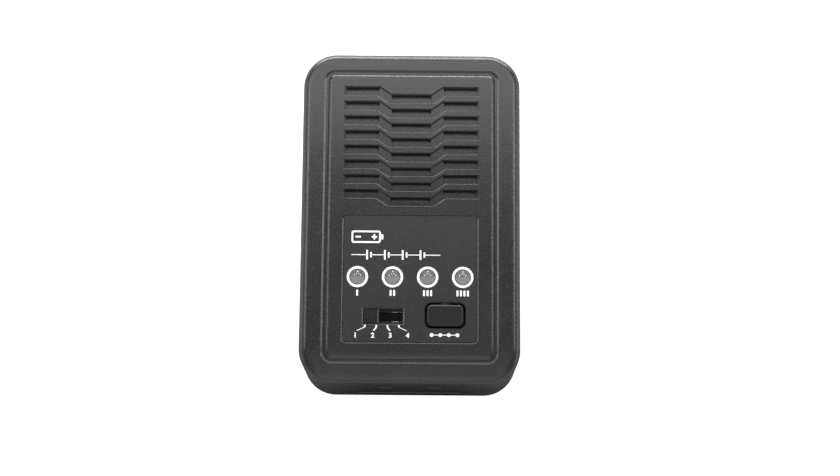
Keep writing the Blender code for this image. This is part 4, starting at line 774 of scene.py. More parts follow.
@dataclass(frozen=True)
class FloorFinish(Finish):
    """Pale floor paint with a painted shadow: toned down towards the front wall, so that the wall mirrors
    less of it.
    """

    # Painted shadow on the floor: its middle, how it is squeezed, and the distances over which it fades to
    # the plain tone
    shadow_middle: Pair = (0.0, -53.5)
    shadow_squeeze: Triple = (0.35, 1.0, 1.0)
    shadow_reach: Pair = (4.0, 55.0)
    shade: float = 0.02

    def colour(self, bench: NodeBench, place: Socket, tone: Socket) -> Socket:
        """Darken the tone round the middle of the painted shadow.

        Args:
            bench: The bench of the material.
            place: Where the point lies.
            tone: The colour so far.

        Returns:
            The colour.
        """
        # Painted shadow: the floor tone falls to the shade level near the front wall
        middle = Vector((*self.shadow_middle, 0.0)) * MM
        low, high = (reach * MM for reach in self.shadow_reach)
        drawn = bench.add("ShaderNodeMapping", {"Vector": place, "Scale": self.shadow_squeeze}).outputs[0]
        away = bench.add("ShaderNodeVectorMath", {0: drawn, 1: middle}, operation="DISTANCE").outputs["Value"]
        return bench.scaled(tone, bench.ramp(away, low, high, self.shade, 1.0))


@dataclass(frozen=True)
class LampFinish(Finish):
    """Milky lamp resin, a shade darker in the half of the lamp that holds its reflector."""

    middle_y: float = 0.0
    blend: float = 0.05
    shade: float = 0.72

    def colour(self, bench: NodeBench, place: Socket, tone: Socket) -> Socket:
        """Darken the tone behind the middle line of the lamps.

        Args:
            bench: The bench of the material.
            place: Where the point lies.
            tone: The colour so far.

        Returns:
            The colour.
        """
        y = bench.add("ShaderNodeSeparateXYZ", {"Vector": place}).outputs["Y"]
        low, high = (self.middle_y - self.blend) * MM, (self.middle_y + self.blend) * MM
        return bench.scaled(tone, bench.ramp(y, low, high, 1.0, self.shade))


@dataclass
class CaseForm:
    """Sizes that the two halves of the case share."""

    half_width: float = 35.0
    half_length: float = 53.5
    underside: float = 1.0
    parting: float = 8.0
    cover_edge: float = 8.3
    ceiling: float = 35.8
    face: float = 38.0
    corner: float = 10.8
    wall: float = 2.2
    outer_segments: int = 24
    inner_segments: int = 12
    screws: Pair = (27.3, 45.3)
    feet: Pair = (25.0, 35.0)

    def shape(self, name: str, inset: float, low: float, high: float) -> Stock:
        """Make a block with the case's outline drawn in by an inset.

        Args:
            name: Name of the stock.
            inset: How far the outline is drawn in.
            low: Height of its underside.
            high: Height of its top.

        Returns:
            The stock.
        """
        size = (2 * (self.half_width - inset), 2 * (self.half_length - inset))
        segments = self.inner_segments if inset else self.outer_segments
        stock = Stock.slab(name, (0.0, 0.0), size, low, high)
        return stock.round_edges(along(UP), self.corner - inset, segments)


CASE = CaseForm()


@dataclass
class ControlPlaces:
    """Places and sizes of what comes up through the face label."""

    led_x: tuple[float, ...] = (-16.65, -5.55, 5.55, 16.65)
    led_y: float = -20.06
    led_hole: float = 2.7
    led_sides: int = 64
    switch: Pair = (-8.4, -32.54)
    switch_opening: Pair = (12.6, 4.9)
    switch_chamfer: Pair = (0.19, 0.42)
    switch_step: float = 0.04
    button: Pair = (11.15, -32.3)
    button_size: Pair = (11.5, 6.8)
    button_corner: float = 1.5
    button_segments: int = 10
    button_gap: float = 0.62
    neck_width: float = 2.9
    neck_gap: float = 0.3
    neck_reach: float = 0.6

    def first_led(self) -> Pair:
        """Return the place of the first lamp."""
        return (self.led_x[0], self.led_y)

    def led_row(self, first: Stock) -> Stock:
        """Copy a mesh from the first lamp to the others."""
        return first.repeat(len(self.led_x), (self.led_x[1] - self.led_x[0], 0.0, 0.0))

    def led_tool(self, radius: float, low: float, high: float) -> Stock:
        """Make the four lamp holes as one tool."""
        return self.led_row(Rod(radius, low, high, self.led_sides).at("lamp_holes", self.first_led()))

    def switch_tool(self, grow: float, low: float, high: float) -> Stock:
        """Make a tool for the switch opening, grown on all four sides."""
        width, length = self.switch_opening
        return Stock.slab("switch_opening", self.switch, (width + 2 * grow, length + 2 * grow), low, high)

    def button_tool(self, grow: float, reach: float, low: float, high: float) -> Stock:
        """Make a tool for the button opening with the pocket of its neck.

        Args:
            grow: How far the opening is grown on all sides.
            reach: How far the pocket goes beyond the opening.
            low: Height of the tool's underside.
            high: Height of its top.

        Returns:
            The cutting tool.
        """
        x = self.button[0]
        width, length = (size + 2 * (self.button_gap + grow) for size in self.button_size)
        tool = Stock.slab("button_opening", self.button, (width, length), low, high)
        tool.round_edges(along(UP), self.button_corner + self.button_gap, self.button_segments)
        half = self.neck_width / 2 + self.neck_gap
        for edge in (x - half, x + half):
            tool.split((edge, 0.0, 0.0), RIGHT)
        return tool.draw_out(lambda place, normal: normal.y > STRAIGHT and abs(place.x - x) < half,
                             (0.0, reach - grow, 0.0))


CONTROLS = ControlPlaces()

FINISHES: dict[Slot, Finish] = {
    Slot.CASE: Finish("moulded_case", grey(0.001), (0.031, 0.031, 0.0312), (0.22, 0.36), SPARK),
    Slot.BASE: Finish("moulded_base", grey(0.001), (0.029, 0.029, 0.0292), (0.24, 0.38), SPARK),
    Slot.LABEL: Finish("label_film", (0.011, 0.011, 0.0112), (0.036, 0.036, 0.0362), (0.40, 0.52),
                       Relief(3000.0, 0.05, 0.7), specular=0.32),
    Slot.SLIDER: Finish("slider_acetal", grey(0.006), grey(0.014), (0.30, 0.42)),
    Slot.BUTTON: Finish("moulded_button", (0.003, 0.003, 0.0031), (0.010, 0.010, 0.0102), (0.36, 0.48),
                        Relief(2600.0, 0.02, 0.45), specular=0.38),
    Slot.LAMP: LampFinish("lamp_resin", (0.16, 0.16, 0.165), (0.23, 0.23, 0.235), (0.22, 0.34),
                          middle_y=CONTROLS.led_y),
    Slot.RUBBER: Finish("foot_rubber", grey(0.010), grey(0.024), (0.72, 0.90), Relief(2600.0, 0.03)),
    Slot.SCREW: Finish("zinc_screw", (0.36, 0.36, 0.37), grey(0.56), (0.26, 0.42), ROLLED, 1.0),
    # A near-black tone for the switch shell, which keeps the well under the slider dark
    Slot.SHELL: Finish("near_black_shell", grey(0.006), (0.014, 0.014, 0.0145), (0.40, 0.56), ROLLED, 0.2),
    Slot.BRASS: Finish("plated_contact", (0.40, 0.36, 0.29), (0.56, 0.52, 0.44), (0.24, 0.40),
                       Relief(8000.0, 0.005, pattern=Pattern.BRUSHED), 1.0),
    Slot.SOCKET: Finish("socket_nylon", (0.024, 0.024, 0.026), (0.044, 0.044, 0.046), (0.36, 0.50)),
    Slot.INLET: Finish("inlet_nylon", (0.012, 0.012, 0.013), (0.026, 0.026, 0.027), (0.36, 0.50)),
    Slot.BOARD: Finish("board_laminate", (0.010, 0.016, 0.012), (0.020, 0.030, 0.024), (0.28, 0.42),
                       Relief(1800.0, 0.01), coat=0.3),
    Slot.DEVICE: Finish("device_epoxy", (0.012, 0.012, 0.013), (0.026, 0.026, 0.028), (0.42, 0.58)),
    Slot.FERRITE: Finish("ferrite_core", (0.040, 0.038, 0.037), (0.085, 0.082, 0.080), (0.48, 0.66),
                         Relief(2400.0)),
    Slot.TAPE: Finish("coil_tape", (0.040, 0.036, 0.030), (0.070, 0.064, 0.054), (0.30, 0.42),
                      Relief(140.0, 0.05, pattern=Pattern.TURNS)),
    Slot.COPPER: Finish("enamelled_copper", (0.050, 0.030, 0.022), (0.090, 0.056, 0.042), (0.24, 0.38),
                        Relief(420.0, 0.25, 0.8, Pattern.TURNS), 0.8),
    Slot.ALUMINIUM: Finish("heatsink_aluminium", (0.10, 0.10, 0.105), (0.17, 0.17, 0.175), (0.36, 0.52),
                           Relief(5000.0, 0.01, pattern=Pattern.BRUSHED), 0.8),
    Slot.SLEEVE: Finish("capacitor_sleeve", (0.016, 0.017, 0.020), (0.034, 0.036, 0.042), (0.24, 0.36)),
    Slot.FUSE: Finish("fuse_tube", (0.58, 0.60, 0.60), (0.74, 0.76, 0.76), (0.10, 0.22)),
    Slot.FILTER: Finish("filter_case", (0.045, 0.043, 0.040), (0.070, 0.067, 0.062), (0.34, 0.46)),
    Slot.DISC: Finish("disc_coating", (0.024, 0.034, 0.056), (0.042, 0.056, 0.086), (0.28, 0.42)),
    Slot.LINK: Finish("link_nylon", (0.70, 0.68, 0.60), (0.82, 0.80, 0.72), (0.40, 0.54)),
    Slot.RIBBON: Finish("ribbon_sleeve", (0.36, 0.37, 0.38), (0.60, 0.61, 0.62), (0.38, 0.52),
                        Relief(250.0, 0.2, pattern=Pattern.TURNS)),
}
INK = Finish("white_ink", grey(0.80), grey(0.92), (0.50, 0.62), Relief(9000.0, 0.004))
# Painted light: a tone lighter than the case for the slanted slot floors, standing in for light that reaches
# into the slots; it is also matt
MATT_LIT_LOUVRE = Finish("matt_lit_louvre", grey(0.030), (0.056, 0.056, 0.0562), (0.55, 0.70))
# Painted highlights: near-white resin for the bumps that stand in for reflections on each lamp's top
PAINTED_GLINT = Finish("painted_lamp_glint", (0.80, 0.81, 0.82), (0.92, 0.93, 0.94), (0.20, 0.30))
# Bright metal for the painted highlights along the switch shell's slot edges
HIGHLIGHT_TIN = Finish("highlight_tin", (0.42, 0.42, 0.43), (0.60, 0.60, 0.61), (0.30, 0.44), ROLLED, 0.7)


@dataclass
class Assembly:
    """A sub-assembly, with the materials that dress its pieces by slot or by extra finish."""

    paint: dict[Slot | Finish, Material]


@dataclass
class LouvreGrille:
    """Rows of cranked recesses with a through slot and a lower ledge in each straight run."""

    rows: int = 8
    pitch: float = 4.83
    first_north: float = 42.0
    half_width: float = 21.4
    crank_outer: float = 10.2
    crank_inner: float = 6.5
    drop: float = 2.5
    recess: float = 2.7
    recess_depth: float = 0.7
    rim: float = 0.42
    lip: float = 0.15
    slot: float = 1.05
    ledge_depth: float = 1.2
    slot_slant: float = 1.5
    end_wall: float = 0.3
    crank_wall: float = 0.1
    bend_slack: float = 0.05
    slant_match: float = 0.999

    def down_the_grille(self, row: Stock) -> Stock:
        """Copy the tool of the first row to the others."""
        return row.repeat(self.rows, (0.0, -self.pitch, 0.0))

    def recess_tool(self) -> Stock:
        """Draw the cranked recess of one row out of its middle run, and copy it down the grille.

        Returns:
            The cutting tool.
        """
        north = self.first_north - self.drop
        south = north - self.recess
        row = Stock.block("grille_recess", (-self.crank_inner, south, CASE.face - self.recess_depth),
                          (self.crank_inner, north, CASE.face + PROUD - self.rim))
        crank, run = self.crank_outer - self.crank_inner, self.half_width - self.crank_outer
        lean = self.recess * math.tan(math.atan2(self.drop, crank) / 2)
        for side in (-1, 1):
            row.draw_out(facing(RIGHT * side), (side * crank, self.drop, 0.0), (side * run, 0.0, 0.0))
            for x, y in ((self.crank_inner, south), (self.crank_outer, south + self.drop)):
                row.shift(self.south_bend(side * x, y), (side * lean, 0.0, 0.0))
        return self.down_the_grille(row.flare(UP, rim_round(self.rim)))

    def south_bend(self, x: float, y: float) -> Test:
        """Return a test for the corners at one bend of a row's south edge."""
        slack = self.bend_slack
        return lambda place, normal: abs(place.x - x) < slack and abs(place.y - y) < slack

    def is_slant(self, place: Vector, normal: Vector) -> bool:
        """Tell whether a face is the slanted floor of a slot.

        Args:
            place: Middle of the face.
            normal: Its normal.

        Returns:
            True on a slant.
        """
        fall = math.atan(1 / self.slot_slant)
        inside = abs(place.x) < self.half_width and 0.0 < place.y < self.first_north + self.recess
        return inside and normal.dot(Vector((0.0, math.sin(fall), math.cos(fall)))) > self.slant_match

    def slot_tool(self) -> Stock:
        """Make the slot and ledge of the three straight runs, and copy them down the grille.

        Returns:
            The cutting tool.
        """
        far, near = self.half_width - self.end_wall, self.crank_outer + self.crank_wall
        middle = self.crank_inner - self.crank_wall
        left = self.run_tool(-far, -near, 0.0)
        left.gather(self.run_tool(-middle, middle, self.drop), self.run_tool(near, far, 0.0))
        return self.down_the_grille(left)

    def run_tool(self, west: float, east: float, drop: float) -> Stock:
        """Make the slot of one straight run, slanted to the north below, and draw its ledge out to the south.

        Args:
            west: Left end of the run.
            east: Right end of the run.
            drop: How far the run lies south of the row's outer runs.

        Returns:
            The cutting tool.
        """
        north = self.first_north - drop - self.lip
        slot_south = north - self.slot
        south = north - self.recess + 2 * self.lip
        ledge = CASE.face - self.ledge_depth
        foot = CASE.ceiling - CUT_REACH
        tool = Stock.block("grille_slot", (west, slot_south, foot), (east, north, CASE.face + CUT_REACH))
        tool.split((0.0, 0.0, ledge), UP)
        tool.draw_out(lambda place, normal: normal.y < -STRAIGHT and place.z > ledge,
                      (0.0, south - slot_south, 0.0))
        lean = (0.0, self.slot_slant * (ledge - foot), 0.0)
        return tool.shift(lambda place, normal: place.z < foot + TOUCH, lean)


@dataclass
class TopCover(Assembly):
    """The deep top half of the case, with its frame groove, raised panel and openings."""

    top_fillet: Round = (3.2, 10)
    edge: Round = (0.25, 3)
    inner_chamfer: Round = (1.0, 2)
    lip_height: float = 1.4
    rebate: float = 1.2
    boss: Rod = Rod(3.0, 5.4, 36.3, 28)
    boss_bore: tuple[float, float, int] = (1.6, 13.9, 20)
    post: Rod = Rod(2.2, 28.2, 36.3, 24)
    post_bore: tuple[float, float, int] = (1.3, 30.5, 16)
    post_places: tuple[Pair, Pair] = ((-16.8, -6.0), (16.8, -42.5))
    groove_insets: Pair = (6.7, 5.7)
    groove_corner: float = 3.8
    groove_segments: int = 14
    ring_drop: float = 0.45
    groove_slope: Sequence[Pair] = ((0.22, 0.43), (0.07, 0.14), (0.04, 0.12), (0.02, 0.10))
    groove_floor: float = 0.71
    panel_edge: Pair = (2.0, 53.5)
    panel_steps: int = 7
    panel_root: float = 0.2
    crown_reach: float = 10.0
    crown_fall: float = 0.7
    crown_steps: int = 16
    label_pocket: tuple[Pair, Pair] = ((-21.3, -41.0), (21.3, -0.1))
    label_corner: Round = (1.3, 8)
    label_floor: float = 37.4
    label_rim: Sequence[Pair] = ((0.15, 0.30), (0.04, 0.10))
    front_recess: Triple = (16.5, 17.0, 0.4)
    front_corner: Round = (5.0, 12)
    front_rim: float = 0.25
    sockets: tuple[Triple, Triple] = ((-8.0, 7.0, 16.1), (8.0, 7.65, 15.0))
    vent: Triple = (8.0, 5.0, 3.0)
    vent_height: float = 24.0
    vent_corner: Round = (0.75, 5)
    vent_rim: float = 0.3
    inlet_window: Pair = (10.4, 19.7)
    inlet_corner: Round = (3.2, 10)
    grille: LouvreGrille = field(default_factory=LouvreGrille)
    cover: Stock = field(init=False)

    def build(self) -> None:
        """Model the cover and hand it in, with the slants of its louvres in a lighter, matt tone as painted
        light in the slots.
        """
        ring = CASE.face - self.ring_drop
        self.cover = CASE.shape("cover_moulding", 0.0, CASE.cover_edge, ring)
        self.cover.round_edges(in_plane(UP, ring), *self.top_fillet)
        self.cover.round_edges(in_plane(UP, CASE.cover_edge), *self.edge)
        self.frame_face()
        self.crown()
        self.hollow()
        self.cover.cut(self.grille.recess_tool(), self.grille.slot_tool())
        self.sink_label()
        self.open_face()
        self.open_front()
        self.open_rear()
        self.cover.hand_in(self.paint[Slot.CASE], Slot.CASE, "top_cover")
        # Painted light on the slot slants: the lighter tone keeps the slots dark grey rather than black
        self.cover.touch_up(self.paint[MATT_LIT_LOUVRE], self.grille.is_slant)

    def hollow(self) -> None:
        """Hollow the cover, and stand its screw bosses and board posts inside."""
        below = CASE.cover_edge - CUT_REACH
        room = CASE.shape("cover_room", CASE.wall, below, CASE.ceiling)
        room.round_edges(in_plane(UP, CASE.ceiling), *self.inner_chamfer)
        self.cover.cut(room, CASE.shape("cover_rebate", self.rebate, below, CASE.parting + self.lip_height))
        self.cover.join(self.boss.at_corners("boss", CASE.screws))
        self.cover.cut(self.boss.bore(*self.boss_bore).at_corners("boss_bore", CASE.screws))
        for place in self.post_places:
            self.cover.join(self.post.at("post", place))
            self.cover.cut(self.post.bore(*self.post_bore).at("post_bore", place))

    def frame_face(self) -> None:
        """Sink the frame groove into the face and set the raised panel back inside it."""
        half_x, half_y = (half - inset for half, inset in
                          zip((CASE.half_width, CASE.half_length), self.groove_insets))
        run = sum(spread for _, spread in self.groove_slope)
        floor = CASE.face - self.ring_drop - total_rise(self.groove_slope)
        pocket = Stock.block("groove", (run - half_x, run - half_y, floor - PROUD),
                             (half_x - run, half_y - run, floor))
        pocket.round_edges(along(UP), self.groove_corner - run, self.groove_segments)
        run += self.groove_floor
        radius, slope = self.panel_edge
        edge = [(rise, -spread) for rise, spread in
                rim_round(radius, self.panel_steps, math.pi / 2 - math.radians(slope))]
        panel = Stock.block("panel", (run - half_x, run - half_y, CASE.ceiling + self.panel_root),
                            (half_x - run, half_y - run, CASE.face - total_rise(edge)))
        panel.round_edges(along(UP), self.groove_corner - run, self.groove_segments)
        self.cover.cut(pocket.flare(UP, self.groove_slope)).join(panel.flare(UP, edge, 0.0))

    def crown(self) -> None:
        """Let the face fall away gently towards the front edge."""
        start = self.top_fillet[0] - CASE.half_length
        for step in range(self.crown_steps):
            self.cover.split((0.0, start + self.crown_reach * step / self.crown_steps, 0.0), REAR)
        foot = CASE.face - self.ring_drop - self.top_fillet[0]
        self.cover.sag(lambda place, normal: place.y < start + TOUCH and place.z > foot - TOUCH,
                       (0.0, 0.0, -self.crown_fall), self.crown_reach)

    def sink_label(self) -> None:
        """Cut the pocket that takes the label."""
        low, high = self.label_pocket
        rim = CASE.face - total_rise(self.label_rim)
        tool = Stock.block("label_pocket", (*low, self.label_floor), (*high, rim))
        tool.round_edges(along(UP), *self.label_corner)
        self.cover.cut(tool.flare(UP, self.label_rim))

    def open_face(self) -> None:
        """Cut the lamp holes, the switch opening and the button opening."""
        low, high = CASE.ceiling - CUT_REACH, CASE.face + CUT_REACH
        mouth = [CONTROLS.switch_chamfer, (CONTROLS.switch_step, 0.0)]
        switch = CONTROLS.switch_tool(0.0, low, self.label_floor - total_rise(mouth)).flare(UP, mouth)
        button = CONTROLS.button_tool(0.0, CONTROLS.neck_reach + CONTROLS.neck_gap, low, high)
        self.cover.cut(CONTROLS.led_tool(CONTROLS.led_hole, low, high), switch, button)

    def open_front(self) -> None:
        """Cut the shallow front recess, the two socket windows and the two vents."""
        half, top, depth = self.front_recess
        face, below = -CASE.half_length, CASE.parting - CUT_REACH
        start = face + self.front_rim - PROUD
        recess = Stock.block("front_recess", (-half, start, below), (half, face + depth, top))
        recess.round_edges(along(REAR, top), *self.front_corner)
        self.cover.cut(recess.flare(FRONT, rim_round(self.front_rim)))
        outside, inside = face - CUT_REACH, face + CASE.wall + CUT_REACH
        for x, half, top in self.sockets:
            window = Stock.block("socket_window", (x - half, outside, below), (x + half, inside, top))
            self.cover.cut(window)
        x, width, height = self.vent
        low, high = self.vent_height - height / 2, self.vent_height + height / 2
        vent = Stock.block("front_vent", (-x - width / 2, face + self.vent_rim - PROUD, low),
                           (-x + width / 2, inside, high))
        vent.round_edges(along(REAR), *self.vent_corner)
        self.cover.cut(vent.flare(FRONT, rim_round(self.vent_rim)).repeat(2, (2 * x, 0.0, 0.0)))

    def open_rear(self) -> None:
        """Cut the inlet window, open at the cover's edge."""
        half, top = self.inlet_window
        face = CASE.half_length
        tool = Stock.block("inlet_window", (-half, face - CASE.wall - CUT_REACH, CASE.parting - CUT_REACH),
                           (half, face + PROUD - self.edge[0], top))
        tool.round_edges(along(REAR, top), *self.inlet_corner)
        self.cover.cut(tool.flare(REAR, rim_round(*self.edge)))


@dataclass
class BaseTray(Assembly):
    """The shallow lower half of the case."""

    bottom_round: Round = (0.8, 5)
    edge: Round = (0.25, 3)
    floor: float = 3.0
    root: float = 0.5
    lip_insets: Pair = (1.4, 2.4)
    lip_top: float = 9.2
    lip_gaps: Pair = (16.5, 12.4)
    pillar: Rod = Rod(3.7, floor - root, 5.2, 28)
    standoff: Rod = Rod(2.6, floor - root, 6.3, 28)
    standoff_place: Pair = (26.0, 35.9)
    rim: Round = (0.25, 3)
    head_hole: Rod = Rod(2.8, CASE.underside - PROUD + rim[0], 3.6, 36)
    shank_hole: Rod = Rod(1.6, CASE.underside - CUT_REACH, pillar.high + CUT_REACH, 24)
    foot_recess: Rod = Rod(4.2, CASE.underside - CUT_REACH, CASE.underside + 0.8, 48)
    vents: int = 5
    vent_size: Pair = (22.0, 1.6)
    vent_pitch: float = 4.4
    vent_flat: float = 0.01
    vent_segments: int = 8
    base: Stock = field(init=False)

    def build(self) -> None:
        """Model the base and hand it in."""
        base = self.base = CASE.shape("base_moulding", 0.0, CASE.underside, CASE.parting)
        base.round_edges(in_plane(UP, CASE.underside), *self.bottom_round)
        base.round_edges(in_plane(UP, CASE.parting), *self.edge)
        lip_outer, lip_inner = self.lip_insets
        base.join(CASE.shape("base_lip", lip_outer, CASE.parting - CUT_REACH, self.lip_top))
        base.cut(CASE.shape("base_room", lip_inner, self.floor, self.lip_top + CUT_REACH))
        self.gap_lip()
        base.join(self.pillar.at_corners("pillar", CASE.screws))
        base.join(self.standoff.at_corners("standoff", self.standoff_place))
        self.open_underside()
        base.hand_in(self.paint[Slot.BASE], Slot.BASE, "base_cover")

    def gap_lip(self) -> None:
        """Cut the lip away where the sockets and the inlet pass over the rim."""
        deep, high = CASE.wall + 2 * CUT_REACH, self.lip_top + CUT_REACH
        for half, end in zip(self.lip_gaps, (-CASE.half_length, CASE.half_length)):
            self.base.cut(Stock.slab("lip_gap", (0.0, end), (2 * half, 2 * deep), CASE.parting, high))

    def open_underside(self) -> None:
        """Cut the stepped screw holes, the recesses of the feet and the vents."""
        mouth = rim_round(*self.rim)
        x, y = CASE.screws
        heads = self.head_hole.at("head_hole", (-x, -y)).flare(DOWN, mouth)
        self.base.cut(heads.at_four_corners(x, y))
        self.base.cut(self.shank_hole.at_corners("shank_hole", CASE.screws))
        self.base.cut(self.foot_recess.at_corners("foot_recess", CASE.feet))
        first = -(self.vents - 1) / 2 * self.vent_pitch
        top = self.floor + CUT_REACH
        vent = Stock.slab("base_vent", (0.0, first), self.vent_size, self.head_hole.low, top)
        vent.round_edges(along(UP), self.vent_size[1] / 2 - self.vent_flat, self.vent_segments)
        self.base.cut(vent.flare(DOWN, mouth).repeat(self.vents, (0.0, self.vent_pitch, 0.0)))


@dataclass
class Footing(Assembly):
    """The four rubber feet and the four case screws under the base."""

    foot: Rod = Rod(4.0, 0.0, 1.6, 56)
    foot_round: Round = (0.4, 5)
    dish: Pair = (1.0, 0.15)
    head: Rod = Rod(2.5, 1.8, 3.4, 36)
    head_round: Round = (1.1, 6)
    shank: Rod = Rod(1.3, 3.2, 12.1, 24)
    point: Rod = Rod(1.3, 12.05, 13.35, 24, top_radius=0.4)
    recess: Triple = (3.0, 0.7, 1.0)

    def build(self) -> None:
        """Model one foot and one screw, and copy each to its other three places."""
        x, y = CASE.feet
        foot = self.foot.at("foot_1", (-x, -y))
        foot.round_edges(in_plane(UP, self.foot.low), *self.foot_round)
        foot.inset(facing(DOWN), *self.dish)
        self.set_out(foot, "foot", CASE.feet, Slot.RUBBER, "rubber_foot")
        self.set_out(self.screw(), "screw", CASE.screws, Slot.SCREW, "case_screw")

    def screw(self) -> Stock:
        """Turn one case screw with a cross recess in its head.

        Returns:
            The screw at its first corner.
        """
        place = (-CASE.screws[0], -CASE.screws[1])
        screw = self.head.at("screw_1", place)
        screw.round_edges(in_plane(UP, self.head.low), *self.head_round)
        screw.join(self.shank.at("shank", place), self.point.at("point", place))
        span, width, depth = self.recess
        for size in ((span, width), (width, span)):
            screw.cut(Stock.slab("cross", place, size, self.head.low - CUT_REACH, self.head.low + depth))
        return screw

    def set_out(self, first: Stock, name: str, place: Pair, slot: Slot, node: str) -> None:
        """Copy a piece from its first corner to the other three and hand all four in.

        Args:
            first: The piece at its first corner.
            name: Name of the pieces, before their numbers.
            place: How far they stand from the middle of the case.
            slot: Material slot of the record.
            node: Name of the CAD nodes, before their numbers.
        """
        x, y = 2 * place[0], 2 * place[1]
        moves = ((x, 0.0, 0.0), (x, y, 0.0), (0.0, y, 0.0))
        copies = [first.copy(f"{name}_{index}", move) for index, move in enumerate(moves, start=2)]
        for index, piece in enumerate([first, *copies], start=1):
            piece.hand_in(self.paint[slot], slot, f"{node}_{index}")


@dataclass
class FaceLabel(Assembly):
    """The label sheet and the marks printed on it."""

    corners: tuple[Pair, Pair] = ((-21.1, -40.8), (21.1, -0.3))
    corner: Round = (1.1, 8)
    top: float = 37.9
    thickness: float = 0.4
    edge: Round = (0.08, 2)
    button_grow: float = 0.2
    lamp_hole: float = 2.55
    ink: float = 0.025
    ring: Pair = (3.38, 2.58)
    ring_sides: int = 72
    stroke: float = 0.56
    stroke_segments: int = 5
    leader_tops: Pair = (-35.42, -36.1)
    leader_end: float = -37.3
    leader_x: tuple[Pair, ...] = ((-14.1, -16.6), (-10.5, -11.3), (-7.0, -6.2), (-3.4, -0.9))
    leader_round: float = 0.224
    number_x: tuple[float, ...] = (-17.1, -11.6, -6.1, -0.6)
    number_y: float = -39.45
    number_size: float = 2.15
    number_weight: float = 0.08
    lamp_mark: Pair = (0.64, 1.9)
    lamp_mark_y: float = -25.2
    lamp_mark_pitch: float = 1.1
    lamp_mark_corner: float = 0.2
    battery: Pair = (-14.05, -7.2)
    battery_size: Pair = (9.3, 4.0)
    battery_corner: float = 0.7
    battery_inner: Round = (0.3, 4)
    knob: Pair = (1.08, 1.6)
    sign_arm: float = 1.7
    sign_shifts: Pair = (2.6, -2.5)
    cell_row: Triple = (-18.7, 9.5, -13.0)
    cells: int = 4
    cell_gap: float = 0.62
    plates: Pair = (3.1, 1.7)
    step_dots: Triple = (11.0, 2.7, -38.5)
    dot: float = 0.62
    dot_sides: int = 28

    def build(self) -> None:
        """Model the sheet and its print, and hand them in."""
        under = self.top - self.thickness
        sheet = Stock.block("label_sheet", (*self.corners[0], under), (*self.corners[1], self.top))
        sheet.round_edges(along(UP), *self.corner)
        sheet.round_edges(in_plane(UP, self.top), *self.edge)
        low, high, rim = under - CUT_REACH, self.top + CUT_REACH, self.top + PROUD - self.edge[0]
        mouth = rim_round(*self.edge)
        switch = CONTROLS.switch_tool(CONTROLS.switch_chamfer[1], low, rim).flare(UP, mouth)
        reach = CONTROLS.neck_reach - CONTROLS.neck_gap
        button = CONTROLS.button_tool(self.button_grow, reach, low, rim).flare(UP, mouth)
        sheet.cut(CONTROLS.led_tool(self.lamp_hole, low, high), switch, button)
        sheet.hand_in(self.paint[Slot.LABEL], Slot.LABEL, "face_label")
        for mark in (self.rings, self.leaders, self.numbers, self.lamp_marks, self.battery_mark,
                     self.cell_mark, self.step_mark):
            mark()

    def print_out(self, *marks: Stock) -> None:
        """Gather marks into one print and hand it in."""
        marks[0].gather(*marks[1:]).hand_in(self.paint[INK], Slot.LABEL)

    def bar(self, name: str, place: Pair, size: Pair, corner: float = 0.0) -> Stock:
        """Print a plain bar, with round corners where a radius is given."""
        bar = Stock.slab(name, place, size, self.top - self.ink, self.top + self.ink)
        return bar.round_edges(along(UP), corner, self.stroke_segments) if corner else bar

    def rings(self) -> None:
        """Print the white ring round each lamp."""
        outer, inner = self.ring
        place, low = CONTROLS.first_led(), self.top - self.ink
        ring = Rod(outer, low, self.top + self.ink, self.ring_sides).at("print_rings", place)
        bore = Rod(inner, low - CUT_REACH, low + 2 * CUT_REACH, self.ring_sides).at("ring_bore", place)
        self.print_out(CONTROLS.led_row(ring.cut(bore)))

    def leaders(self) -> None:
        """Print the four bent leader lines from the switch to its numbers."""
        lines = []
        top, bend = self.leader_tops
        for x, end in self.leader_x:
            line = self.bar("print_leaders", (x, (top + bend) / 2), (self.stroke, top - bend))
            line.draw_out(facing(FRONT), (end - x, self.leader_end - bend, 0.0))
            lines.append(line.round_edges(along(UP), self.leader_round, self.stroke_segments))
        self.print_out(*lines)

    def numbers(self) -> None:
        """Print a plain number under each leader line."""
        made = []
        for index, x in enumerate(self.number_x, start=1):
            bpy.ops.object.select_all(action="DESELECT")
            bpy.ops.object.text_add(location=Vector((x, self.number_y, self.top)) * MM)
            text = bpy.context.object.data
            text.body = str(index)
            text.align_x = "CENTER"
            text.size = self.number_size * MM
            text.offset = self.number_weight * MM
            text.extrude = self.ink * MM
            bpy.ops.object.convert(target="MESH")
            made.append(Stock.added("print_numbers"))
        self.print_out(*made)

    def lamp_marks(self) -> None:
        """Print one to four plain bars under the lamps."""
        bars = []
        for count, x in enumerate(CONTROLS.led_x, start=1):
            for index in range(count):
                place = (x + (index - (count - 1) / 2) * self.lamp_mark_pitch, self.lamp_mark_y)
                bars.append(self.bar("print_lamp_marks", place, self.lamp_mark, self.lamp_mark_corner))
        self.print_out(*bars)

    def battery_mark(self) -> None:
        """Print a plain battery sign in the upper part of the label."""
        (x, y), (width, length), line = self.battery, self.battery_size, self.stroke
        frame = self.bar("print_battery", self.battery, self.battery_size, self.battery_corner)
        inside = Stock.slab("battery_inside", self.battery, (width - 2 * line, length - 2 * line),
                            self.top - CUT_REACH, self.top + CUT_REACH)
        frame.cut(inside.round_edges(along(UP), *self.battery_inner))
        knob_x = x + (width - line + self.knob[0]) / 2
        frame.join(self.bar("battery_knob", (knob_x, y), self.knob))
        plus_x, minus_x = (x + shift for shift in self.sign_shifts)
        plus = self.bar("plus", (plus_x, y), (self.sign_arm, line))
        plus.join(self.bar("plus_upright", (plus_x, y), (line, self.sign_arm)))
        self.print_out(frame, plus, self.bar("minus", (minus_x, y), (self.sign_arm, line)))

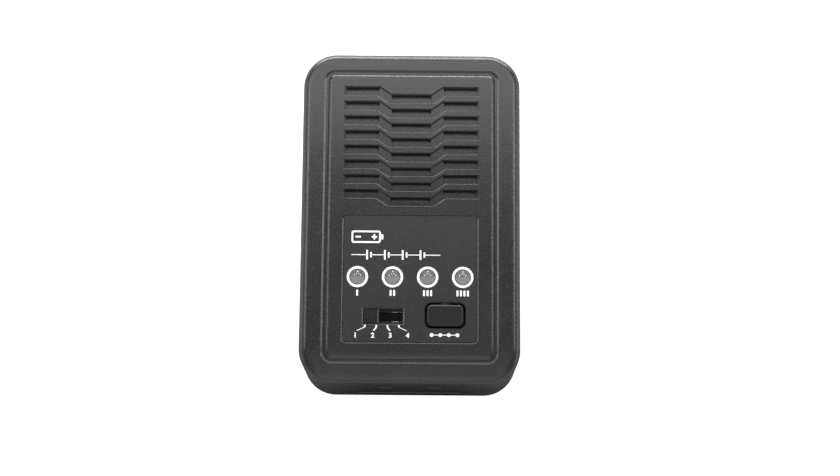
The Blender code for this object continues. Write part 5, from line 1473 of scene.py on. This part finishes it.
    def cell_mark(self) -> None:
        """Print the plain circuit sign for a row of cells: long and short plates on a lead."""
        west, east, y = self.cell_row
        pitch = (east - west) / (self.cells + 1)
        bars, start = [], west
        for index in range(self.cells):
            middle = west + (index + 1) * pitch
            ends = (middle - self.cell_gap, middle + self.cell_gap)
            for x, plate in zip(ends, self.plates):
                bars.append(self.bar("print_cells", (x, y), (self.stroke, plate)))
            bars[-2].join(self.lead(start, ends[0], y))
            start = ends[1]
        bars[-1].join(self.lead(start, east, y))
        self.print_out(*bars)

    def lead(self, west: float, east: float, y: float) -> Stock:
        """Print a thin line across the label."""
        return self.bar("lead", ((west + east) / 2, y), (east - west, self.stroke / 2))

    def step_mark(self) -> None:
        """Print four dots on a thin line under the button, one for each lamp that it steps to."""
        x, pitch, y = self.step_dots
        count = len(CONTROLS.led_x)
        reach = (count - 1) / 2 * pitch
        dots = Rod(self.dot, self.top - self.ink, self.top + self.ink, self.dot_sides)
        row = dots.at("print_steps", (x - reach, y)).repeat(count, (pitch, 0.0, 0.0))
        self.print_out(row.join(self.lead(x - reach, x + reach, y)))


@dataclass
class StatusLamps(Assembly):
    """Four flat-topped lamps, each with its two leads, and near-white bumps on its top as painted highlights.
    """

    top: float = 37.85
    foot: float = 31.7
    body: Rod = Rod(2.38, foot, top, 64)
    flange: Rod = Rod(2.9, foot, foot + 1.0, 48)
    edge: Round = (0.12, 4)
    lead: float = 0.5
    lead_spread: float = 2.54
    lead_ends: Pair = (28.2, foot + 0.5)
    glint_rise: float = 0.05
    glint_sides: int = 16
    glint_taper: float = 0.6
    glints: tuple[Triple, ...] = ((0.06, 1.72, 0.27), (-0.30, 1.02, 0.19), (0.40, 1.02, 0.19),
                                  (-0.98, 0.50, 0.22), (0.98, 0.50, 0.22))

    def build(self) -> None:
        """Model one lamp, copy it to the other three places and hand all four in."""
        x, y = CONTROLS.first_led()
        lamp = self.body.at("lamp_1", (x, y))
        lamp.round_edges(in_plane(UP, self.top), *self.edge)
        lamp.join(self.flange.at("flange", (x, y)))
        for shift in (-self.lead_spread / 2, self.lead_spread / 2):
            lamp.join(Stock.slab("lead", (x + shift, y), (self.lead, self.lead), *self.lead_ends))
        # Painted highlights: small near-white bumps on the top stand in for reflections of the lights
        low, high = self.top - self.glint_rise, self.top + self.glint_rise
        for across, along_y, radius in self.glints:
            glint = Rod(radius, low, high, self.glint_sides, radius * self.glint_taper)
            lamp.join(glint.at("glint", (x + across, y + along_y)))
        copies = [lamp.copy(f"lamp_{index}", (place - x, 0.0, 0.0))
                  for index, place in enumerate(CONTROLS.led_x[1:], start=2)]
        for index, piece in enumerate([lamp, *copies], start=1):
            piece.hand_in(self.paint[Slot.LAMP], Slot.LAMP, f"status_led_{index}")
            piece.touch_up(self.paint[PAINTED_GLINT], lambda place, normal: place.z > self.top + PLANE_SLACK)


@dataclass
class SwitchShell(Assembly):
    """The folded shell of the current switch, with strips of bright metal along parts of its slot edges as
    painted highlights.
    """

    low: Triple = (-16.7, -36.44, 32.6)
    high: Triple = (-0.1, -28.64, 35.6)
    thickness: float = 0.4
    fold: Round = (0.35, 5)
    slot: Pair = (11.7, 2.9)
    highlight_runs: tuple[Pair, Pair] = ((-5.7, -3.45), (-2.85, -2.6))
    highlight_edge: Pair = (0.16, 0.14)
    highlight_segments: int = 2

    def build(self) -> None:
        """Model the shell and the strips of painted highlight, and hand them in."""
        (west, south, foot), (east, north, top) = self.low, self.high
        shell = Stock.block("switch_cover", self.low, self.high)
        shell.round_edges(along(RIGHT, top), *self.fold)
        room = Stock.block("shell_room", (west - CUT_REACH, south + self.thickness, foot - CUT_REACH),
                           (east + CUT_REACH, north - self.thickness, top - self.thickness))
        slot = Stock.slab("shell_slot", CONTROLS.switch, self.slot, top - CUT_REACH, top + CUT_REACH)
        shell.cut(room, slot)
        shell.hand_in(self.paint[Slot.SHELL], Slot.SHELL, "switch_shell")
        # Painted highlights: short bright metal strips where light catches the edges of the slot
        width, rise = self.highlight_edge
        y, half = CONTROLS.switch[1], self.slot[1] / 2
        edges = []
        for west, east in self.highlight_runs:
            for south in (y - half - width, y + half):
                edge = Stock.block("highlight_edges", (west, south, top - rise), (east, south + width, top + rise))
                edges.append(edge.round_edges(in_plane(UP, top + rise), rise / 3, self.highlight_segments))
        edges[0].gather(*edges[1:]).hand_in(self.paint[HIGHLIGHT_TIN], Slot.SHELL)


@dataclass
class SlideKnob(Assembly):
    """The ribbed slider of the current switch, at the first of its places."""

    place: Pair = (-12.15, -32.54)
    size: Pair = (4.8, 4.5)
    under: float = 35.9
    valley: float = 37.0
    top: float = 37.5
    root: float = 0.3
    ribs: int = 5
    draft: float = 0.12
    lip: Pair = (0.5, 0.22)
    stem: Pair = (3.6, 2.3)
    carriage: Pair = (29.6, 34.9)
    edge: Round = (0.1, 3)

    def build(self) -> None:
        """Model the slider and hand it in."""
        (x, y), (across, length) = self.place, self.size
        half, foot = across / 2, self.valley - self.root
        knob = Stock.slab("slide_knob", self.place, self.size, self.under, self.valley)
        width = across / (2 * self.ribs - 1)
        middle = x - half + width / 2
        rib = Stock.slab("rib", (middle, y), (width, length), foot, self.top)
        for side in (-1, 1):
            rib.shift(lambda place, normal: place.z > self.valley and side * (place.x - middle) > self.draft,
                      (-side * self.draft, 0.0, 0.0))
        rib.round_edges(in_plane(UP, self.top), *self.edge)
        knob.join(rib.repeat(self.ribs - 1, (2 * width, 0.0, 0.0)))
        run, fall = self.lip
        lip = Stock.slab("lip", (x + half - run / 2, y), (run, length), foot, self.top)
        lip.shift(lambda place, normal: place.z > self.valley and place.x > x + half - TOUCH,
                  (0.0, 0.0, -fall))
        low, high = self.carriage
        knob.join(lip, Stock.slab("stem", self.place, self.stem, high - self.root, self.under + self.root))
        knob.join(Stock.slab("carriage", self.place, self.size, low, high))
        knob.hand_in(self.paint[Slot.SLIDER], Slot.SLIDER, "current_slider", body=Body.SLIDER)


@dataclass
class PressButton(Assembly):
    """The press button on its short neck, with the post under it."""

    heights: Pair = (36.1, 38.3)
    edge: Sequence[Pair] = ((0.10, -0.03), (0.07, -0.06), (0.12, -0.22), (0.07, -0.20), (0.01, -0.06))
    neck: Triple = (-27.68, 36.3, 37.7)
    neck_root: float = 0.8
    post: Rod = Rod(1.1, 34.9, 36.6, 32)
    soft_edge: Round = (0.2, 3)

    def build(self) -> None:
        """Model the button and hand it in."""
        x, y = CONTROLS.button
        under, top = self.heights
        shoulder = top - total_rise(self.edge)
        button = Stock.slab("press_button", CONTROLS.button, CONTROLS.button_size, under, shoulder)
        button.round_edges(along(UP), CONTROLS.button_corner, CONTROLS.button_segments)
        button.flare(UP, self.edge, 0.0)
        half = CONTROLS.neck_width / 2
        end, low, high = self.neck
        start = y + CONTROLS.button_size[1] / 2 - self.neck_root
        neck = Stock.block("neck", (x - half, start, low), (x + half, end, high))
        neck.round_edges(along(REAR, high), *self.soft_edge)
        post = self.post.at("post", CONTROLS.button)
        button.join(neck, post.round_edges(in_plane(UP, self.post.low), *self.soft_edge))
        button.hand_in(self.paint[Slot.BUTTON], Slot.BUTTON, "type_button", body=Body.BUTTON)


@dataclass
class BatterySockets(Assembly):
    """The output socket and the keyed balance socket at the front."""

    front: float = -52.6
    foot: float = 8.3
    edge: Round = (0.2, 3)
    output: Triple = (-8.0, 13.6, 7.6)
    output_length: float = 13.0
    output_corner: Round = (1.2, 4)
    output_slot: Triple = (6.2, 1.6, 9.5)
    output_spread: float = 5.8
    balance: Triple = (8.0, 14.9, 6.5)
    balance_length: float = 11.0
    balance_corner: Round = (0.3, 4)
    balance_wall: float = 0.9
    balance_depth: float = 7.8
    balance_rim: Round = (0.12, 2)
    key: Triple = (1.6, 5.0, 3.9)
    pins: int = 5
    pin_pitch: float = 2.5
    pin_hole: float = 0.45

    def build(self) -> None:
        """Model both sockets and hand them in."""
        self.output_socket()
        self.balance_socket()

    def housing(self, name: str, size: Triple, length: float, corner: Round) -> Stock:
        """Make a socket's housing with soft edges.

        Args:
            name: Name of the stock.
            size: Its middle across the case, its width and its height.
            length: Its length along the case.
            corner: Rounding of its long edges.

        Returns:
            The housing.
        """
        x, width, height = size
        block = Stock.block(name, (x - width / 2, self.front, self.foot),
                            (x + width / 2, self.front + length, self.foot + height))
        block.round_edges(along(REAR), *corner)
        return block.round_edges(in_plane(REAR, self.front), *self.edge)

    def output_socket(self) -> None:
        """Make the output socket with an upright and a level slot."""
        socket = self.housing("output_housing", self.output, self.output_length, self.output_corner)
        x, _, height = self.output
        z, spread = self.foot + height / 2, self.output_spread / 2
        long, short, depth = self.output_slot
        for middle, half_x, half_z in ((x - spread, short / 2, long / 2), (x + spread, long / 2, short / 2)):
            slot = Stock.block("slot", (middle - half_x, self.front + self.edge[0] - PROUD, z - half_z),
                               (middle + half_x, self.front + depth, z + half_z))
            socket.cut(slot.flare(FRONT, rim_round(*self.edge)))
        socket.hand_in(self.paint[Slot.SOCKET], Slot.SOCKET, "output_socket")

    def balance_socket(self) -> None:
        """Make the balance socket with its cavity, two key slots and a hole for each pin."""
        socket = self.housing("balance_housing", self.balance, self.balance_length, self.balance_corner)
        x, width, height = self.balance
        wall, rim = self.balance_wall, self.balance_rim[0]
        top, z = self.foot + height, self.foot + height / 2
        cavity = Stock.block("cavity", (x - width / 2 + wall, self.front + rim - PROUD, self.foot + wall),
                             (x + width / 2 - wall, self.front + self.balance_depth, top - wall))
        socket.cut(cavity.flare(FRONT, rim_round(*self.balance_rim)))
        key, spread, depth = self.key
        west = x - spread / 2 - key / 2
        keys = Stock.block("key", (west, self.front - CUT_REACH, z),
                           (west + key, self.front + depth, top + CUT_REACH))
        socket.cut(keys.repeat(2, (spread, 0.0, 0.0)))
        first, half = x - (self.pins - 1) / 2 * self.pin_pitch, self.pin_hole
        hole = Stock.block("pin_hole", (first - half, self.front + self.balance_depth - CUT_REACH, z - half),
                           (first + half, self.front + self.balance_length + CUT_REACH, z + half))
        socket.cut(hole.repeat(self.pins, (self.pin_pitch, 0.0, 0.0)))
        socket.hand_in(self.paint[Slot.SOCKET], Slot.SOCKET, "balance_socket")


@dataclass
class MainsInlet(Assembly):
    """The two-pole mains inlet at the rear."""

    half_width: float = 10.2
    heights: Pair = (8.3, 19.5)
    depths: Pair = (37.5, 53.5)
    corner: Round = (3.0, 10)
    edge: Round = (0.25, 3)
    centre_z: float = 13.9
    barrel: Pair = (4.3, 3.9)
    barrel_sides: int = 48
    waist: float = 3.0
    mouth_end: float = 41.5
    mouth_slack: float = 0.1
    pin_hole: float = 1.4
    pin_sides: int = 24

    def build(self) -> None:
        """Model the inlet and hand it in."""
        low, high = self.heights
        start, end = self.depths
        inlet = Stock.block("inlet_housing", (-self.half_width, start, low), (self.half_width, end, high))
        inlet.round_edges(along(REAR, high), *self.corner)
        rim = in_plane(REAR, end)
        inlet.round_edges(rim, *self.edge)
        spread, radius = self.barrel
        length = end - self.mouth_end + CUT_REACH
        barrels = [self.barrel_tool("mouth", radius, side * spread, self.mouth_end, length, self.barrel_sides)
                   for side in (-1, 1)]
        waist = Stock.block("waist", (-spread, self.mouth_end, self.centre_z - self.waist),
                            (spread, self.mouth_end + length, self.centre_z + self.waist))
        inlet.cut(barrels[0].join(barrels[1], waist))
        back, through = start - CUT_REACH, self.mouth_end - start + 2 * CUT_REACH
        for side in (-1, 1):
            x = side * spread
            inlet.cut(self.barrel_tool("pin_hole", self.pin_hole, x, back, through, self.pin_sides))
        inlet.round_edges(lambda place, way: rim(place, way) and self.in_mouth(place), *self.edge)
        inlet.hand_in(self.paint[Slot.INLET], Slot.INLET, "mains_inlet")

    def barrel_tool(self, name: str, radius: float, x: float, y: float, length: float, sides: int) -> Stock:
        """Make a round tool along the case at the height of the pins."""
        return Stock.drum(name, radius, (x, y, self.centre_z), length, Axis.ALONG_Y, sides)

    def in_mouth(self, place: Vector) -> bool:
        """Tell whether a place lies on the outline of the mouth."""
        reach, spread = self.barrel[1] + self.mouth_slack, self.barrel[0]
        return abs(place.x) < spread + reach and abs(place.z - self.centre_z) < reach


@dataclass(frozen=True)
class PhotoCamera:
    """The camera, at the place and angle of the photograph's."""

    place: Triple = (3.04, -124.59, 636.85)
    tilt: float = 0.1931
    roll: float = 0.0080
    focal_pixels: float = 1923.4
    frame_pixels: float = 840.0
    sensor: float = 36.0
    nearest: float = 10.0

    def make(self) -> None:
        """Add the camera and make it the scene's own."""
        bpy.ops.object.camera_add()
        camera = bpy.context.object
        camera.name = "photo_camera"
        camera.data.sensor_width = self.sensor
        camera.data.lens = self.focal_pixels * self.sensor / self.frame_pixels
        camera.data.clip_start = self.nearest * MM
        turn = Matrix.Rotation(self.tilt, 4, "X") @ Matrix.Rotation(self.roll, 4, "Z")
        camera.matrix_world = Matrix.Translation(Vector(self.place) * MM) @ turn
        bpy.context.scene.camera = camera


@dataclass(frozen=True)
class SoftBox:
    """A soft area light that looks at a point, in metres."""

    name: str
    place: Triple
    target: Triple
    size: Pair
    radiance: float

    def make(self) -> None:
        """Add the light, out of the camera's own sight."""
        bpy.ops.object.light_add(type="AREA", location=self.place)
        light = bpy.context.object
        light.name = self.name
        light.data.shape = "RECTANGLE"
        light.data.size, light.data.size_y = self.size
        light.data.energy = math.pi * self.size[0] * self.size[1] * self.radiance
        light.visible_camera = False
        way = Vector(self.target) - Vector(self.place)
        light.rotation_euler = way.to_track_quat("-Z", "Y").to_euler()


AIM = (0.0, 0.0, 0.03)


@dataclass(frozen=True)
class Studio:
    """The pale floor, the soft lights and the plain surroundings, in metres."""

    floor_size: float = 4.0
    floor_white: float = 0.98
    paint: FloorFinish = FloorFinish("floor_paint", grey(0.74), grey(0.80), (0.7, 0.8),
                                     Relief(300.0, strength=0.02), patches_per_metre=3.0)
    sky: float = 0.31
    sky_seen: float = 0.93
    boxes: tuple[SoftBox, ...] = (
        SoftBox("rear_strip", (0.0, 0.45, 0.10), (0.0, 0.0, 0.10), (0.6, 0.1), 16.0),
        SoftBox("rear_middle", (0.0, 0.45, 0.24), AIM, (0.6, 0.16), 2.1),
        SoftBox("rear_canopy", (0.0, 0.133, 0.20), (0.0, 0.133, 0.0), (0.5, 0.134), 2.8),
        SoftBox("left_strip", (-0.62, 0.16, 0.54), (0.0, 0.16, 0.03), (0.2, 0.16), 9.5),
        SoftBox("right_strip", (0.60, 0.16, 0.55), (0.0, 0.16, 0.03), (0.2, 0.16), 9.5),
        SoftBox("left_low", (-0.5, 0.0, 0.06), (0.0, 0.0, 0.06), (0.5, 0.1), 2.3),
        SoftBox("right_low", (0.5, 0.0, 0.06), (0.0, 0.0, 0.06), (0.5, 0.1), 2.6),
        SoftBox("front_high", (0.0, -0.25, 0.68), AIM, (0.6, 0.45), 0.75),
        SoftBox("front_middle", (0.0, -0.56, 0.30), AIM, (0.9, 0.56), 1.0),
    )

    def make(self, groups: EffectGroups) -> None:
        """Lay the floor, set the sky and hang the lights.

        Args:
            groups: The shared effects.
        """
        self.lay_floor(self.paint.make(groups))
        world = bpy.data.worlds.new("studio_sky")
        world.use_nodes = True
        bench = NodeBench(world.node_tree)
        seen = bench.add("ShaderNodeLightPath").outputs["Is Camera Ray"]
        level = bench.ramp(seen, 0.0, 1.0, self.sky, self.sky_seen)
        bench.feed(world.node_tree.nodes["Background"], {"Color": (*grey(1.0), 1.0), "Strength": level})
        bpy.context.scene.world = world
        bpy.context.scene.view_settings.view_transform = "Standard"
        for box in self.boxes:
            box.make()

    def lay_floor(self, paint: Material) -> None:
        """Lay the floor, which the camera sees as plain white.

        Args:
            paint: Material of the floor.
        """
        bpy.ops.object.select_all(action="DESELECT")
        bpy.ops.mesh.primitive_plane_add(size=self.floor_size)
        floor = bpy.context.object
        floor.name = "floor"
        bench = NodeBench(paint.node_tree)
        seen = bench.add("ShaderNodeLightPath").outputs["Is Camera Ray"]
        bench.feed(paint.node_tree.nodes["Principled BSDF"],
                   {"Emission Color": (*grey(self.floor_white), 1.0), "Emission Strength": seen})
        floor.data.materials.append(paint)


def dress_nodes(frame: dict, paint: dict[Slot | Finish, Material]) -> None:
    """Paint every CAD node with the finish of its slot.

    Args:
        paint: Materials by slot.
    """
    for row in frame["record"]["subparts"]:
        node = frame["nodes"][row["node"]]
        for holder in node.material_slots:
            holder.material = paint[Slot(row["material_slot"])]
        LOG.info("%s: painted as %s", row["node"], row["material_slot"])


def main() -> None:
    """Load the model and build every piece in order."""
    logging.basicConfig(level=logging.INFO, format="%(message)s")
    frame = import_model()
    groups = EffectGroups()
    PhotoCamera().make()
    Studio().make(groups)
    paint = {slot: finish.make(groups) for slot, finish in FINISHES.items()}
    paint |= {finish: finish.make(groups) for finish in (INK, MATT_LIT_LOUVRE, PAINTED_GLINT, HIGHLIGHT_TIN)}
    dress_nodes(frame, paint)
    for assembly in (TopCover, BaseTray, Footing, FaceLabel, StatusLamps, SwitchShell, SlideKnob, PressButton,
                     BatterySockets, MainsInlet):
        assembly(paint).build()


if __name__ == "__main__":
    main()
